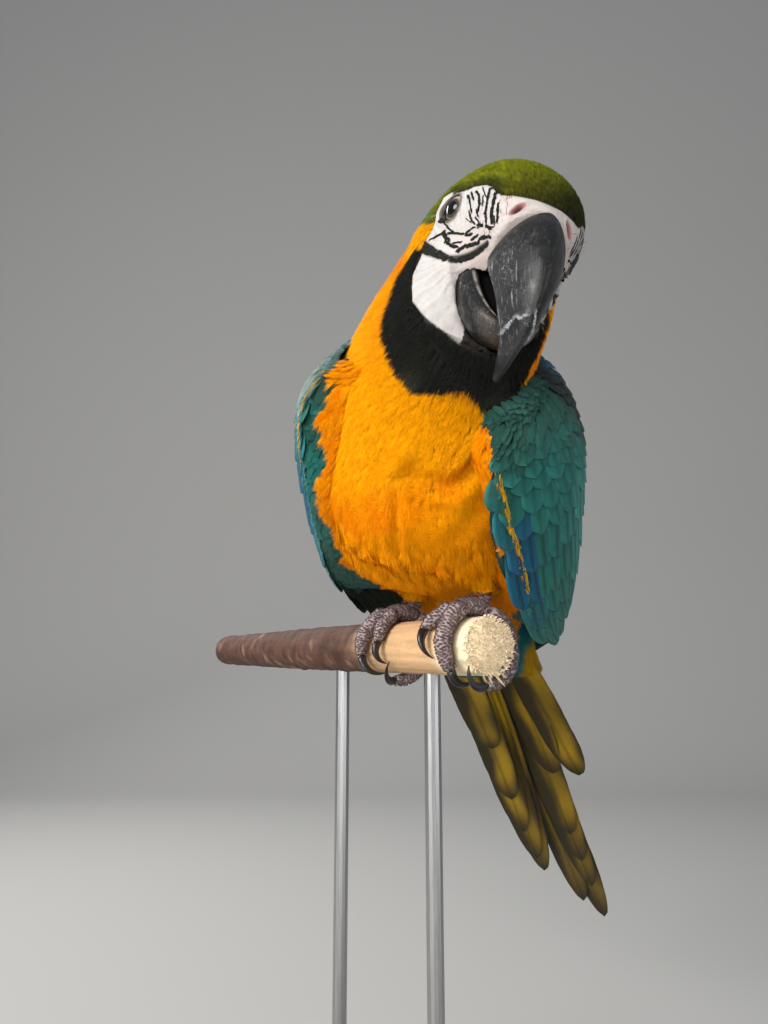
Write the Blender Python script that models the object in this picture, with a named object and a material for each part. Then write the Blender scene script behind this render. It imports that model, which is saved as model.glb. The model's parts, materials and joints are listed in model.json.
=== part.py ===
"""A life-size blue-and-gold macaw, leaning forward on a short cut of branch.

Two rods hold the branch over a round base. Metres, +Z up. The origin is the middle of the base's underside. The
bird looks along -Y and its left side is at +X. Three local frames carry it: TRUNK (x towards the neck, y to the
bird's left, z to its back), HEAD (x towards the bill, y to its left, z to the crown) and the tail's (x towards the
tips). Sizes inside the first two are in millimetres.
"""

import math

import bmesh
import bpy
from mathutils import Matrix, Vector

MM = 0.001
GAP = 0.35 * MM  # clearance between neighbouring solids

# The perch and the stand, in metres.
PERCH_HEIGHT = 0.3600
PERCH_END = Vector((0.0224, -0.0392, PERCH_HEIGHT))
PERCH_AZIMUTH = 30.0  # degrees, from +Y towards -X
PERCH_LENGTH = 0.400
PERCH_RADIUS = 0.0150
PERCH_FAR_RADIUS = 0.0132
BASE_RADIUS = 0.165
BASE_THICKNESS = 0.020
ROD_RADIUS = 0.0045
ROD_PLACES = (0.052, 0.160)  # distances along the perch
ROD_BITE = 0.006  # how far a rod reaches into the perch
COLLAR_RADIUS, COLLAR_HEIGHT = 0.011, 0.009

# The trunk's frame.
TRUNK_ORIGIN = Vector((-0.004, -0.016, 0.450))
TRUNK_PITCH = 36.0  # degrees, the neck end up
TRUNK_YAW = 8.0  # degrees, the neck end towards -X

# The head's frame, midway between the eyes.
HEAD_ORIGIN = Vector((0.0295, -0.1077, 0.5443))
HEAD_FORWARD = Vector((0.162, -0.864, -0.477))
HEAD_UP = Vector((0.337, -0.406, 0.850))

# The tail's frame, at its root.
TAIL_ROOT = Vector((0.022, 0.070, 0.383))
TAIL_DIRECTION = Vector((0.363, 0.711, -0.602))

BODY_SIDES = 24
EYE_RADIUS, EYE_CENTRE = 8.0, (-0.6, 25.0, -3.0)

# Feet: distance along the perch, and which way the outer side of the foot lies along it.
FEET = {"left": (0.0180, -1.0), "right": (0.0860, 1.0)}
ANKLE_BACK, ANKLE_HEIGHT = 11.5, 13.0  # from the top of the perch, behind and above
PAD_HALF_WIDTH, PAD_RADIUS = 9.0, 5.2
PAD_ENDS = {1: 17.0, -1: 30.0}  # degrees from the top of the perch, to the front and to the back
# Toe: the way it turns, arc length, offset outwards at its root and tip, root radius, claw length and drift.
TOES = {
    "left": {
        "front_outer": (1, 36.0, 5.2, 6.0, 5.2, 19.0, -2.0),
        "front_inner": (1, 14.0, -5.5, -15.0, 4.8, 17.0, 5.0),
        "back_outer": (-1, 50.0, 5.5, 15.0, 5.0, 18.0, 3.0),
        "back_inner": (-1, 22.0, -5.5, -9.0, 4.6, 15.0, 0.0),
    },
    "right": {
        "front_outer": (1, 28.0, 5.5, 13.0, 5.2, 18.0, -8.0),
        "front_inner": (1, 20.0, -5.2, -7.0, 4.8, 15.0, 0.0),
        "back_outer": (-1, 52.0, 5.2, 2.0, 5.0, 18.0, -14.0),
        "back_inner": (-1, 24.0, -5.5, -9.0, 4.6, 15.0, 0.0),
    },
}

# Tail feathers: where each root lies across the tail, where its tip lies along and across it, in metres, and its
# layer counted from the back down.
TAIL_FEATHERS = {
    "tail_left_1": (0.0020, 0.472, 0.001, 0),
    "tail_right_1": (-0.0020, 0.438, -0.013, 1),
    "tail_left_2": (0.0060, 0.398, 0.003, 2),
    "tail_left_3": (0.0105, 0.345, 0.004, 3),
    "tail_left_4": (0.0150, 0.293, 0.005, 4),
    "tail_left_5": (0.0190, 0.192, 0.013, 5),
    "tail_left_6": (0.0235, 0.190, 0.034, 6),
    "tail_right_2": (-0.0060, 0.364, -0.034, 7),
    "tail_right_3": (-0.0105, 0.338, -0.035, 8),
    "tail_right_4": (-0.0150, 0.286, -0.034, 9),
    "tail_right_5": (-0.0190, 0.228, -0.029, 10),
    "tail_right_6": (-0.0225, 0.150, -0.024, 11),
}
TAIL_FEATHER_START = 0.069  # from the root, just past the coverts
TAIL_FEATHER_THICKNESS, TAIL_LAYER_STEP = 0.0008, 0.00115
TAIL_FEATHER_HALF_WIDTH, TAIL_SAG = 0.0125, 0.010


# ---------------------------------------------------------------- frames and materials


def frame_of(origin, forward, up):
    """A matrix from millimetres in a local frame (x forward, y left, z up) to metres in the world."""
    x = forward.normalized()
    y = up.cross(x).normalized()
    z = x.cross(y)
    turn = Matrix((x, y, z)).transposed().to_4x4()
    return Matrix.Translation(origin) @ turn @ Matrix.Scale(MM, 4)


def trunk_frame():
    pitch, yaw = math.radians(TRUNK_PITCH), math.radians(TRUNK_YAW)
    forward = Vector((-math.sin(yaw) * math.cos(pitch), -math.cos(yaw) * math.cos(pitch), math.sin(pitch)))
    return frame_of(TRUNK_ORIGIN, forward, Vector((0, 0, 1)))


TRUNK = trunk_frame()
HEAD = frame_of(HEAD_ORIGIN, HEAD_FORWARD, HEAD_UP)
PERCH_DIRECTION = Vector((-math.sin(math.radians(PERCH_AZIMUTH)), math.cos(math.radians(PERCH_AZIMUTH)), 0))
PERCH_BACK = PERCH_DIRECTION.cross(Vector((0, 0, 1)))  # behind the feet, level and square to the perch


def material(name, colour, roughness, metallic=0.0):
    made = bpy.data.materials.new(name)
    made.use_nodes = True
    shader = made.node_tree.nodes["Principled BSDF"]
    shader.inputs["Base Color"].default_value = (*colour, 1.0)
    shader.inputs["Roughness"].default_value = roughness
    shader.inputs["Metallic"].default_value = metallic
    made.diffuse_color = (*colour, 1.0)
    return made


# ---------------------------------------------------------------- lofting


def finish(name, bm, surface):
    """One object from a closed bmesh, shaded smooth but for its sharp edges."""
    bmesh.ops.remove_doubles(bm, verts=bm.verts, dist=1e-6)
    bmesh.ops.recalc_face_normals(bm, faces=bm.faces)
    mesh = bpy.data.meshes.new(name)
    bm.to_mesh(mesh)
    bm.free()
    mesh.materials.append(surface)
    mesh.shade_smooth()
    mesh.set_sharp_from_angle(angle=math.radians(50))
    made = bpy.data.objects.new(name, mesh)
    bpy.context.scene.collection.objects.link(made)
    return made


def loft(name, rings, surface):
    """A closed solid through rings of points, with flat ends."""
    bm = bmesh.new()
    loops = [[bm.verts.new(point) for point in ring] for ring in rings]
    for near, far in zip(loops, loops[1:]):
        for i in range(len(near)):
            j = (i + 1) % len(near)
            bm.faces.new((near[i], near[j], far[j], far[i]))
    bm.faces.new(reversed(loops[0]))
    bm.faces.new(loops[-1])
    return finish(name, bm, surface)


def spline(rows, at):
    """The row of numbers at a place along rows, by Catmull-Rom: smooth through every row."""
    last = len(rows) - 1
    i = min(int(at), last - 1)
    t = at - i
    around = [rows[min(max(i + k, 0), last)] for k in (-1, 0, 1, 2)]
    return [
        0.5 * (2 * b + (c - a) * t + (2 * a - 5 * b + 4 * c - d) * t * t + (3 * b - a - 3 * c + d) * t**3)
        for a, b, c, d in zip(*around)
    ]


def section(top, bottom, side, half_width, waist, sides, margin=0.0, power=2.0):
    """A ring from top to bottom, widest at the share waist of its height, and squarer for more power."""
    up = (top - bottom).normalized()
    side = (side - up * side.dot(up)).normalized()
    top, bottom = top + up * margin, bottom - up * margin
    height = (top - bottom).length
    middle = bottom + up * height * waist
    ring = []
    for i in range(sides):
        angle = 2 * math.pi * i / sides
        c, s = math.cos(angle), math.sin(angle)
        out = (abs(c) ** power + abs(s) ** power) ** (-1 / power)
        reach = height * (1 - waist) if s > 0 else height * waist
        ring.append(middle + side * (half_width + margin) * c * out + up * reach * s * out)
    return ring


def smooth_step(t):
    t = min(max(t, 0.0), 1.0)
    return t * t * (3 - 2 * t)


# ---------------------------------------------------------------- trunk, neck and head

# Rings from the tail coverts to the bill. Each holds y, then x and z of its top and of its bottom, in its own
# frame; then its half-width, the share of its height where it is widest, and its squareness.
TRUNK_RINGS = (
    (33.0, -168.0, 3.0, -168.0, -15.0, 31.0, 0.50, 2.3),
    (26.0, -146.0, 13.0, -146.0, -21.0, 33.0, 0.50, 2.2),
    (19.0, -118.0, 25.0, -118.0, -20.0, 37.0, 0.50, 2.1),
    (10.0, -84.0, 38.0, -86.0, -13.0, 45.0, 0.46, 2.1),
    (3.0, -45.0, 48.0, -48.0, -41.0, 54.0, 0.46, 2.1),
    (0.0, 0.0, 54.0, -6.0, -58.0, 58.5, 0.47, 2.1),
    (0.0, 36.0, 55.0, 23.0, -61.0, 57.0, 0.48, 2.1),
    (2.0, 66.0, 57.0, 47.0, -50.0, 49.0, 0.50, 2.1),
)
HEAD_RINGS = (
    (-3.0, -55.0, -11.0, 25.0, -73.0, 39.5, 0.50, 2.2),
    (-2.5, -44.0, 9.0, 26.5, -62.0, 37.0, 0.55, 2.15),
    (-1.5, -31.0, 21.0, 25.5, -55.0, 34.8, 0.61, 2.05),
    (0.0, -13.0, 27.5, 23.0, -50.0, 31.6, 0.63, 2.05),
    (0.0, 5.0, 27.0, 16.0, -42.0, 28.8, 0.63, 2.05),
    (0.0, 17.0, 22.0, 18.0, -30.0, 25.2, 0.56, 2.1),
    (0.0, 28.0, 13.0, 23.0, -24.5, 20.2, 0.48, 2.1),
    (0.0, 35.5, 4.2, 26.0, -20.2, 15.6, 0.34, 1.9),
)


def body_rows():
    """Each ring as its top, bottom and side vectors in metres, its half-width, its waist and its power."""
    rows = []
    for frame, rings in ((TRUNK, TRUNK_RINGS), (HEAD, HEAD_RINGS)):
        side = (frame.to_3x3() @ Vector((0, 1, 0))).normalized()
        for y, top_x, top_z, bottom_x, bottom_z, half_width, *shape in rings:
            ends = frame @ Vector((top_x, y, top_z)), frame @ Vector((bottom_x, y, bottom_z))
            rows.append([*ends[0], *ends[1], *side, half_width * MM, *shape])
    return rows


BODY_ROWS = body_rows()


def body_ring(at, margin=0.0):
    row = spline(BODY_ROWS, at)
    ends = Vector(row[0:3]), Vector(row[3:6]), Vector(row[6:9])
    return section(*ends, row[9], row[10], BODY_SIDES, margin, row[11])


def body_rings(piece, margin=0.0):
    """The rings of one piece of the body; its first is shifted along by the gap to the piece before it."""
    rings = [body_ring(at, margin) for at in stations(piece)]
    step = sum(rings[1], Vector()) - sum(rings[0], Vector())
    rings[0] = [point + step.normalized() * GAP for point in rings[0]]
    return rings


# Where each piece starts and ends along the rings above, and how many rings it is given.
PIECES = {
    "tail_coverts": (0.0, 1.9, 6, "plumage_blue"),
    "trunk": (1.9, 6.8, 13, "plumage_gold"),
    "neck": (6.8, 8.25, 6, "plumage_gold"),
    "head": (8.25, 15.0, 15, "face_skin"),
}


def stations(piece):
    start, end, count, _ = PIECES[piece]
    return [start + (end - start) * k / (count - 1) for k in range(count)]


def make_body(surfaces):
    for piece, (_, _, _, surface) in PIECES.items():
        loft(piece, body_rings(piece), surfaces[surface])
    return bpy.data.objects["head"]


# ---------------------------------------------------------------- bill and eyes

# Cubic curves in the head's middle plane, x and z: the ridge of the upper bill and its cutting edge.
CULMEN = ((36.8, 4.2), (54.0, 0.0), (78.0, -32.0), (49.8, -65.6))
TOMIUM = ((26.2, -21.5), (37.0, -30.0), (49.5, -37.0), (48.2, -65.0))
BILL_WIDTHS = (15.2, 15.8, 15.4, 13.9, 12.2, 10.4, 8.7, 7.0, 5.3, 3.5, 1.4)
# Lower bill rings: x and z of the top and bottom ends, half-width.
LOWER_RINGS = (
    (6.5, -16.5, -2.5, -31.0, 19.6),
    (13.0, -18.0, 2.5, -42.0, 20.8),
    (20.5, -23.0, 11.5, -50.0, 20.2),
    (27.5, -29.0, 24.0, -53.5, 17.6),
    (34.5, -34.5, 34.5, -52.8, 14.0),
    (39.5, -38.2, 40.4, -50.0, 10.4),
    (42.0, -40.6, 42.9, -46.6, 7.4),
)


def cubic(ends, t):
    a, b, c, d = (Vector(end) for end in ends)
    return a * (1 - t) ** 3 + b * 3 * t * (1 - t) ** 2 + c * 3 * t * t * (1 - t) + d * t**3


def upper_bill_rings(margin, sides=18):
    side = HEAD.to_3x3() @ Vector((0, 1, 0))
    rings, count = [], 13
    for k in range(count):
        t = k / (count - 1)
        top, bottom = cubic(CULMEN, t), cubic(TOMIUM, t)
        width = spline([[w] for w in BILL_WIDTHS], t * (len(BILL_WIDTHS) - 1))[0]
        place = [HEAD @ Vector((p[0], 0, p[1])) for p in (top, bottom)]
        rings.append(section(*place, side, width * MM, 0.12, sides, margin, 1.7))
    return rings


def lower_bill_rings(margin, sides=18):
    side = HEAD.to_3x3() @ Vector((0, 1, 0))
    rings = []
    for top_x, top_z, bottom_x, bottom_z, width in LOWER_RINGS:
        top, bottom = HEAD @ Vector((top_x, 0, top_z)), HEAD @ Vector((bottom_x, 0, bottom_z))
        rings.append(section(top, bottom, side, width * MM, 0.62, sides, margin))
    return rings


def eyeball(name, centre, radius, surface, segments=14, bands=8):
    bm = bmesh.new()
    bmesh.ops.create_uvsphere(bm, u_segments=segments, v_segments=bands, radius=radius * MM)
    made = finish(name, bm, surface)
    made.location = HEAD @ Vector(centre)
    return made


def as_cutter(tool):
    tool.hide_render = True
    tool.display_type = "WIRE"
    return tool


def cut(target, tool):
    away = target.modifiers.new(f"cut_{tool.name}", "BOOLEAN")
    away.operation = "DIFFERENCE"
    away.solver = "EXACT"
    away.object = tool


def extended(rings, reach):
    """The same rings with the first and last pushed out along the line of the rings."""
    first = (sum(rings[0], Vector()) - sum(rings[1], Vector())).normalized() * reach
    last = (sum(rings[-1], Vector()) - sum(rings[-2], Vector())).normalized() * reach
    return [[p + first for p in rings[0]], *rings[1:-1], [p + last for p in rings[-1]]]


def make_face(head, surfaces):
    """The two bills and the eyes, and the room for them in the head."""
    loft("bill_upper", upper_bill_rings(0.0), surfaces["bill_horn"])
    loft("bill_lower", lower_bill_rings(0.0), surfaces["bill_horn"])
    cut(head, as_cutter(loft("room_upper", extended(upper_bill_rings(GAP), GAP), surfaces["bill_horn"])))
    cut(head, as_cutter(loft("room_lower", extended(lower_bill_rings(GAP), GAP), surfaces["bill_horn"])))
    x, y, z = EYE_CENTRE
    for name, sign in (("left", 1), ("right", -1)):
        centre = (x, sign * y, z)
        eyeball(f"eye_{name}", centre, EYE_RADIUS, surfaces["eye"])
        cut(head, as_cutter(eyeball(f"socket_{name}", centre, EYE_RADIUS + GAP / MM, surfaces["eye"])))


# ---------------------------------------------------------------- wings

# A folded wing is a shell over the trunk's side. Each ring across it, from the front to the tip, holds x in the
# trunk's frame, the half-axes across and up of the oval that it follows, where on that oval its lower and upper
# edges are in degrees, and its thickness.
WINGS = {
    "left": (
        1,
        (
            (64.0, 60.0, 52.0, -46.0, 26.0, 6.0),
            (52.0, 70.0, 60.0, -62.0, 46.0, 11.0),
            (24.0, 79.0, 65.0, -68.0, 58.0, 13.0),
            (-18.0, 81.0, 66.0, -63.0, 60.0, 13.0),
            (-60.0, 81.0, 65.0, -52.0, 60.0, 12.0),
            (-100.0, 78.0, 62.0, -34.0, 60.0, 10.0),
            (-140.0, 71.0, 58.0, -8.0, 60.0, 8.0),
            (-178.0, 62.0, 52.0, 14.0, 62.0, 6.0),
            (-214.0, 53.0, 46.0, 32.0, 64.0, 4.0),
            (-240.0, 46.0, 42.0, 44.0, 62.0, 2.0),
        ),
    ),
    "right": (
        -1,
        (
            (72.0, 48.0, 44.0, -4.0, 44.0, 5.0),
            (58.0, 62.0, 57.0, -18.0, 60.0, 10.0),
            (28.0, 69.0, 64.0, -30.0, 66.0, 12.0),
            (-16.0, 70.0, 65.0, -30.0, 69.0, 12.0),
            (-60.0, 66.0, 62.0, -18.0, 68.0, 11.0),
            (-102.0, 59.0, 58.0, 0.0, 67.0, 10.0),
            (-142.0, 53.0, 53.0, 18.0, 67.0, 8.0),
            (-180.0, 47.0, 48.0, 34.0, 68.0, 6.0),
            (-214.0, 42.0, 44.0, 48.0, 70.0, 4.0),
            (-240.0, 38.0, 41.0, 56.0, 70.0, 2.0),
        ),
    ),
}
WING_SPLIT = 5.0  # the ring where the flight feathers leave the coverts
WING_ARC_POINTS = 9


def wing_ring(side, rows, at):
    x, across, up, low, high, thickness = spline(rows, at)
    outer, inner = [], []
    for k in range(WING_ARC_POINTS):
        t = k / (WING_ARC_POINTS - 1)
        angle = math.radians(low + (high - low) * t)
        thick = thickness * (0.22 + 0.78 * math.sqrt(max(0.0, 1 - (2 * t - 1) ** 2)))
        outer.append(TRUNK @ Vector((x, side * across * math.cos(angle), up * math.sin(angle))))
        inner_y = side * (across - thick) * math.cos(angle)
        inner.append(TRUNK @ Vector((x, inner_y, (up - thick) * math.sin(angle))))
    return outer + inner[::-1]


def make_wings(surfaces):
    rings = [body_ring(at, GAP) for at in stations("tail_coverts") + stations("trunk")[1:]]
    rings += [body_ring(at, 2 * GAP) for at in stations("neck")[1:]]
    clearance = as_cutter(loft("room_body", rings, surfaces["plumage_gold"]))
    for name, (side, rows) in WINGS.items():
        tip = len(rows) - 1.0
        step = GAP / MM / (rows[5][0] - rows[6][0])
        parts = (("", 0.0, WING_SPLIT, 10), ("_flight", WING_SPLIT + step, tip, 9))
        for suffix, start, end, count in parts:
            rings = [wing_ring(side, rows, start + (end - start) * k / (count - 1)) for k in range(count)]
            wing = loft(f"wing_{name}{suffix}", rings, surfaces["plumage_teal"])
            cut(wing, clearance)
    return clearance


# ---------------------------------------------------------------- legs, feet and claws


def tube_ring(centre, side, up, half_width, half_height, sides):
    return [
        centre
        + side * half_width * math.cos(2 * math.pi * i / sides)
        + up * half_height * math.sin(2 * math.pi * i / sides)
        for i in range(sides)
    ]


def on_perch(along, angle, radial, offset=0.0):
    """A point beside the perch, turned from its top towards the front of the foot, and the way out there."""
    turn = math.radians(angle)
    outwards = Vector((0, 0, 1)) * math.cos(turn) - PERCH_BACK * math.sin(turn)
    return PERCH_END + PERCH_DIRECTION * (along + offset * MM) + outwards * radial * MM, outwards


def toe_centre(foot, toe, share):
    """Centre, outward direction and radius of a toe at a share of its length."""
    along, outer = foot
    way, arc, root_offset, tip_offset, radius, _, _ = toe
    r = radius * (1.0 - 0.24 * share) * (1 + 0.05 * math.sin(share * math.pi * 4))
    bearing = PERCH_RADIUS / MM + GAP / MM + r
    angle = way * (PAD_ENDS[way] + 1.2 + math.degrees(arc / bearing) * share)
    offset = outer * (root_offset + (tip_offset - root_offset) * share)
    centre, outwards = on_perch(along, angle, bearing, offset)
    return centre, outwards, r


def make_toe(name, foot, toe, surfaces):
    rings, count = [], 9
    for k in range(count):
        share = k / (count - 1)
        centre, outwards, r = toe_centre(foot, toe, share)
        blunt = 0.80 if k in (0, count - 1) else 1.0
        rings.append(tube_ring(centre, PERCH_DIRECTION, outwards, r * blunt * MM, r * blunt * MM, 8))
    loft(name, rings, surfaces["foot_scales"])
    make_claw(name.replace("toe", "claw"), foot, toe, surfaces)


def make_claw(name, foot, toe, surfaces):
    """A claw runs on from its toe, bows away from the perch and comes back to it at the tip."""
    along, outer = foot
    way, arc, _, tip_offset, radius, length, drift = toe
    _, _, toe_tip_radius = toe_centre(foot, toe, 1.0)
    bearing = PERCH_RADIUS / MM + GAP / MM + toe_tip_radius
    start = PAD_ENDS[way] + 1.2 + math.degrees((arc + 0.4) / bearing)
    rings, count = [], 7
    for k in range(count):
        share = k / (count - 1)
        thick = 3.1 * (1 - share) ** 0.75 + 0.45
        bow = 2.6 * math.sin(math.pi * share)
        ground = PERCH_RADIUS / MM + GAP / MM + thick + 0.3
        radial = ground + (bearing - ground) * (1 - share) ** 2 + bow
        angle = way * (start + math.degrees(length / bearing) * share)
        centre, outwards = on_perch(along, angle, radial, outer * (tip_offset + drift * share))
        rings.append(tube_ring(centre, PERCH_DIRECTION, outwards, thick * 0.8 * MM, thick * MM, 6))
    loft(name, rings, surfaces["claw_horn"])


def shank_rings(foot, margin=0.0):
    """Rings of the bare shank, from inside the pad to the ankle."""
    ankle, sole = ankle_of(foot), on_perch(foot[0], -4.0, PERCH_RADIUS / MM + PAD_RADIUS)[0]
    line = ankle - sole
    up = line.normalized().cross(PERCH_DIRECTION).normalized()
    rings = []
    for t, r in ((0.0, 4.0), (0.35, 5.2), (0.7, 4.9), (1.0 + margin * 0.03, 5.2)):
        wide, deep = (r + margin) * MM, (r * 0.9 + margin) * MM
        rings.append(tube_ring(sole + line * t, PERCH_DIRECTION, up, wide, deep, 12))
    return rings


def make_foot(name, foot, surfaces):
    """The pad across the top of the perch, with the bare shank joined to it."""
    rings, count = [], 8
    for k in range(count):
        share = k / (count - 1)
        angle = PAD_ENDS[1] * share - PAD_ENDS[-1] * (1 - share)
        swell = math.sqrt(1 - 0.35 * (2 * share - 1) ** 2)
        centre, outwards = on_perch(foot[0], angle, PERCH_RADIUS / MM + GAP / MM + PAD_RADIUS)
        wide, deep = PAD_HALF_WIDTH * swell * MM, PAD_RADIUS * swell * MM
        rings.append(tube_ring(centre, PERCH_DIRECTION, outwards, wide, deep, 14))
    pad = loft(f"foot_{name}", rings, surfaces["foot_scales"])
    union = pad.modifiers.new("shank", "BOOLEAN")
    union.operation = "UNION"
    union.solver = "EXACT"
    union.object = as_cutter(loft(f"shank_{name}", shank_rings(foot), surfaces["foot_scales"]))
    for toe_name, toe in TOES[name].items():
        make_toe(f"toe_{name}_{toe_name}", foot, toe, surfaces)


def ankle_of(foot):
    top, _ = on_perch(foot[0], 0.0, PERCH_RADIUS / MM)
    return top + PERCH_BACK * ANKLE_BACK * MM + Vector((0, 0, ANKLE_HEIGHT * MM))


# Where each thigh leaves the trunk, in the trunk's frame, and its radii from there to the ankle.
HIPS = {"left": (-20.0, 20.0, -20.0), "right": (-62.0, -15.0, 10.0)}
THIGH_RADII = (19.0, 18.0, 15.5, 12.0, 9.0, 7.2)


def make_thigh(name, foot, clearance, surfaces):
    hip, ankle = TRUNK @ Vector(HIPS[name]), ankle_of(foot)
    line = (ankle - hip).normalized()
    side = PERCH_DIRECTION.cross(line).normalized()
    up = line.cross(side)
    rings = []
    for k, radius in enumerate(THIGH_RADII):
        t = k / (len(THIGH_RADII) - 1)
        rings.append(tube_ring(hip + (ankle - hip) * t, side, up, radius * MM, radius * MM, 14))
    thigh = loft(f"thigh_{name}", rings, surfaces["plumage_gold"])
    cut(thigh, clearance)
    cut(thigh, as_cutter(loft(f"shank_room_{name}", shank_rings(foot, GAP / MM), surfaces["foot_scales"])))


# ---------------------------------------------------------------- tail


def make_tail_feather(name, feather, surfaces):
    """A long thin vane that widens from its root, then tapers to a blunt point."""
    root_across, along, across, layer = feather
    x = TAIL_DIRECTION.normalized()
    y = x.cross(Vector((0, 0, 1))).normalized()
    z = y.cross(x)
    level = z * (5.5 - layer) * TAIL_LAYER_STEP
    start = TAIL_ROOT + x * TAIL_FEATHER_START + y * root_across + level
    end = TAIL_ROOT + x * along + y * across + level
    length, thick = (end - start).length, TAIL_FEATHER_THICKNESS / 2
    rings, count = [], 9
    for k in range(count):
        t = k / (count - 1)
        taper = ((1 - t) * length / 0.045) ** 0.6 if (1 - t) * length < 0.045 else 1.0
        half = TAIL_FEATHER_HALF_WIDTH * (0.70 + 0.30 * smooth_step(t * 2.2)) * taper + 0.0008
        centre = start + (end - start) * t - z * TAIL_SAG * along / 0.472 * t * t
        sides = [centre + y * half - z * thick * 0.5, centre - y * half - z * thick * 0.5]
        rings.append([sides[0], centre + z * thick, sides[1], centre - z * thick * 1.2])
    loft(name, rings, surfaces["plumage_blue"])


# ---------------------------------------------------------------- perch and stand


def make_perch(surfaces):
    rings, count, sides = [], 8, 20
    for k in range(count):
        t = k / (count - 1)
        centre = PERCH_END + PERCH_DIRECTION * PERCH_LENGTH * t
        radius = PERCH_RADIUS + (PERCH_FAR_RADIUS - PERCH_RADIUS) * smooth_step((t - 0.42) / 0.58)
        rings.append(tube_ring(centre, PERCH_BACK, Vector((0, 0, 1)), radius, radius, sides))
    return loft("perch", rings, surfaces["branch_wood"])


def cylinder(name, place, radius, low, high, surface, sides=16, bevel=0.0):
    """An upright cylinder, with its rims bevelled if a bevel is given."""
    rings = [(radius - bevel, low), (radius, low + bevel), (radius, high - bevel), (radius - bevel, high)]
    if not bevel:
        rings = [rings[0], rings[-1]]
    points = [
        [
            Vector((place.x, place.y, z))
            + Vector((math.cos(2 * math.pi * i / sides), math.sin(2 * math.pi * i / sides), 0)) * r
            for i in range(sides)
        ]
        for r, z in rings
    ]
    return loft(name, points, surface)


def make_stand(perch, surfaces):
    """The base, and two rods that stand in collars on it and reach into the perch."""
    wood, metal = surfaces["stand_wood"], surfaces["stand_metal"]
    cylinder("stand_base", Vector(), BASE_RADIUS, 0.0, BASE_THICKNESS, wood, 36, 0.003)
    foot, top = BASE_THICKNESS + GAP, PERCH_HEIGHT - PERCH_RADIUS + ROD_BITE
    collar_top = BASE_THICKNESS + COLLAR_HEIGHT
    for number, along in enumerate(ROD_PLACES, 1):
        place = PERCH_END + PERCH_DIRECTION * along
        cylinder(f"stand_rod_{number}", place, ROD_RADIUS, foot, top, metal, 14)
        collar = cylinder(f"stand_collar_{number}", place, COLLAR_RADIUS, foot, collar_top, metal, 18, 0.0012)
        hole = as_cutter(cylinder(f"rod_room_{number}", place, ROD_RADIUS + GAP, 0.0, top + GAP, metal, 14))
        cut(collar, hole)
        cut(perch, hole)


def main():
    for old in list(bpy.data.objects):
        bpy.data.objects.remove(old)
    surfaces = {
        "plumage_gold": material("plumage_gold", (0.80, 0.33, 0.01), 0.75),
        "plumage_teal": material("plumage_teal", (0.03, 0.20, 0.20), 0.55),
        "plumage_blue": material("plumage_blue", (0.02, 0.16, 0.32), 0.55),
        "face_skin": material("face_skin", (0.75, 0.68, 0.62), 0.60),
        "bill_horn": material("bill_horn", (0.02, 0.02, 0.022), 0.35),
        "eye": material("eye", (0.30, 0.28, 0.18), 0.08),
        "foot_scales": material("foot_scales", (0.14, 0.10, 0.09), 0.65),
        "claw_horn": material("claw_horn", (0.015, 0.014, 0.014), 0.30),
        "branch_wood": material("branch_wood", (0.36, 0.19, 0.11), 0.80),
        "stand_wood": material("stand_wood", (0.06, 0.035, 0.02), 0.45),
        "stand_metal": material("stand_metal", (0.35, 0.34, 0.32), 0.35, 1.0),
    }
    head = make_body(surfaces)
    make_face(head, surfaces)
    clearance = make_wings(surfaces)
    for name, foot in FEET.items():
        make_foot(name, foot, surfaces)
        make_thigh(name, foot, clearance, surfaces)
    for name, feather in TAIL_FEATHERS.items():
        make_tail_feather(name, feather, surfaces)
    make_stand(make_perch(surfaces), surfaces)


main()
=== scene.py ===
"""A blue-and-gold macaw on a cut perch: its skin, plumage, bare face, bill, feet, perch and stand."""

import json
import math

import bmesh
import bpy
import numpy as np
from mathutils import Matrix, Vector
from mathutils.bvhtree import BVHTree
from mathutils.kdtree import KDTree

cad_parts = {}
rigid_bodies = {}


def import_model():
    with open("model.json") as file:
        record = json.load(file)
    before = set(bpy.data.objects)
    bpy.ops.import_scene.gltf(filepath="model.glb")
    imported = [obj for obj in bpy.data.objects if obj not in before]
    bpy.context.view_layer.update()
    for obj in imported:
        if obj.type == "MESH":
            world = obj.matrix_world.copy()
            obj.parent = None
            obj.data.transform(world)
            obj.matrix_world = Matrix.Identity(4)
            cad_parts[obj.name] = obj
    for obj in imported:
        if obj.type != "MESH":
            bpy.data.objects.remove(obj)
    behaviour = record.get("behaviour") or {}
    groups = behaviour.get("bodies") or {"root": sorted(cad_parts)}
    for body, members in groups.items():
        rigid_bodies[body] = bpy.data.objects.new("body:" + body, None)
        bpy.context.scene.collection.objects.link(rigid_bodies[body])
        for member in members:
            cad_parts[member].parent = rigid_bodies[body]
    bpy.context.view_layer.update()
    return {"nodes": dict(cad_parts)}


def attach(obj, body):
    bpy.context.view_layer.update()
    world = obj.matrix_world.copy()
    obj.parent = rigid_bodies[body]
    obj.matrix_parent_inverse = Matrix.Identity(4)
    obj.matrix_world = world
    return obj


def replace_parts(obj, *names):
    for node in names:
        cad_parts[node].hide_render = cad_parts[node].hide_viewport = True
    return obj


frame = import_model()
MM = 0.001
RANDOM = np.random.default_rng(7)

# ---------------------------------------------------------------- the solids' own curves


def unit(v):
    """Vectors scaled to a length of 1."""
    return v / np.maximum(np.linalg.norm(v, axis=-1, keepdims=True), 1e-12)


def axes_of(origin, forward, up):
    """Origin and axes (x forward, y to the bird's left, z up) of a local frame in millimetres."""
    x = unit(np.array(forward, float))
    y = unit(np.cross(up, x))
    return np.array(origin, float), np.stack([x, y, np.cross(x, y)])


def out_of(local, points):
    """Points given in a local frame in millimetres, placed in metres."""
    return local[0] + np.asarray(points, float) @ local[1] * MM


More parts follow.
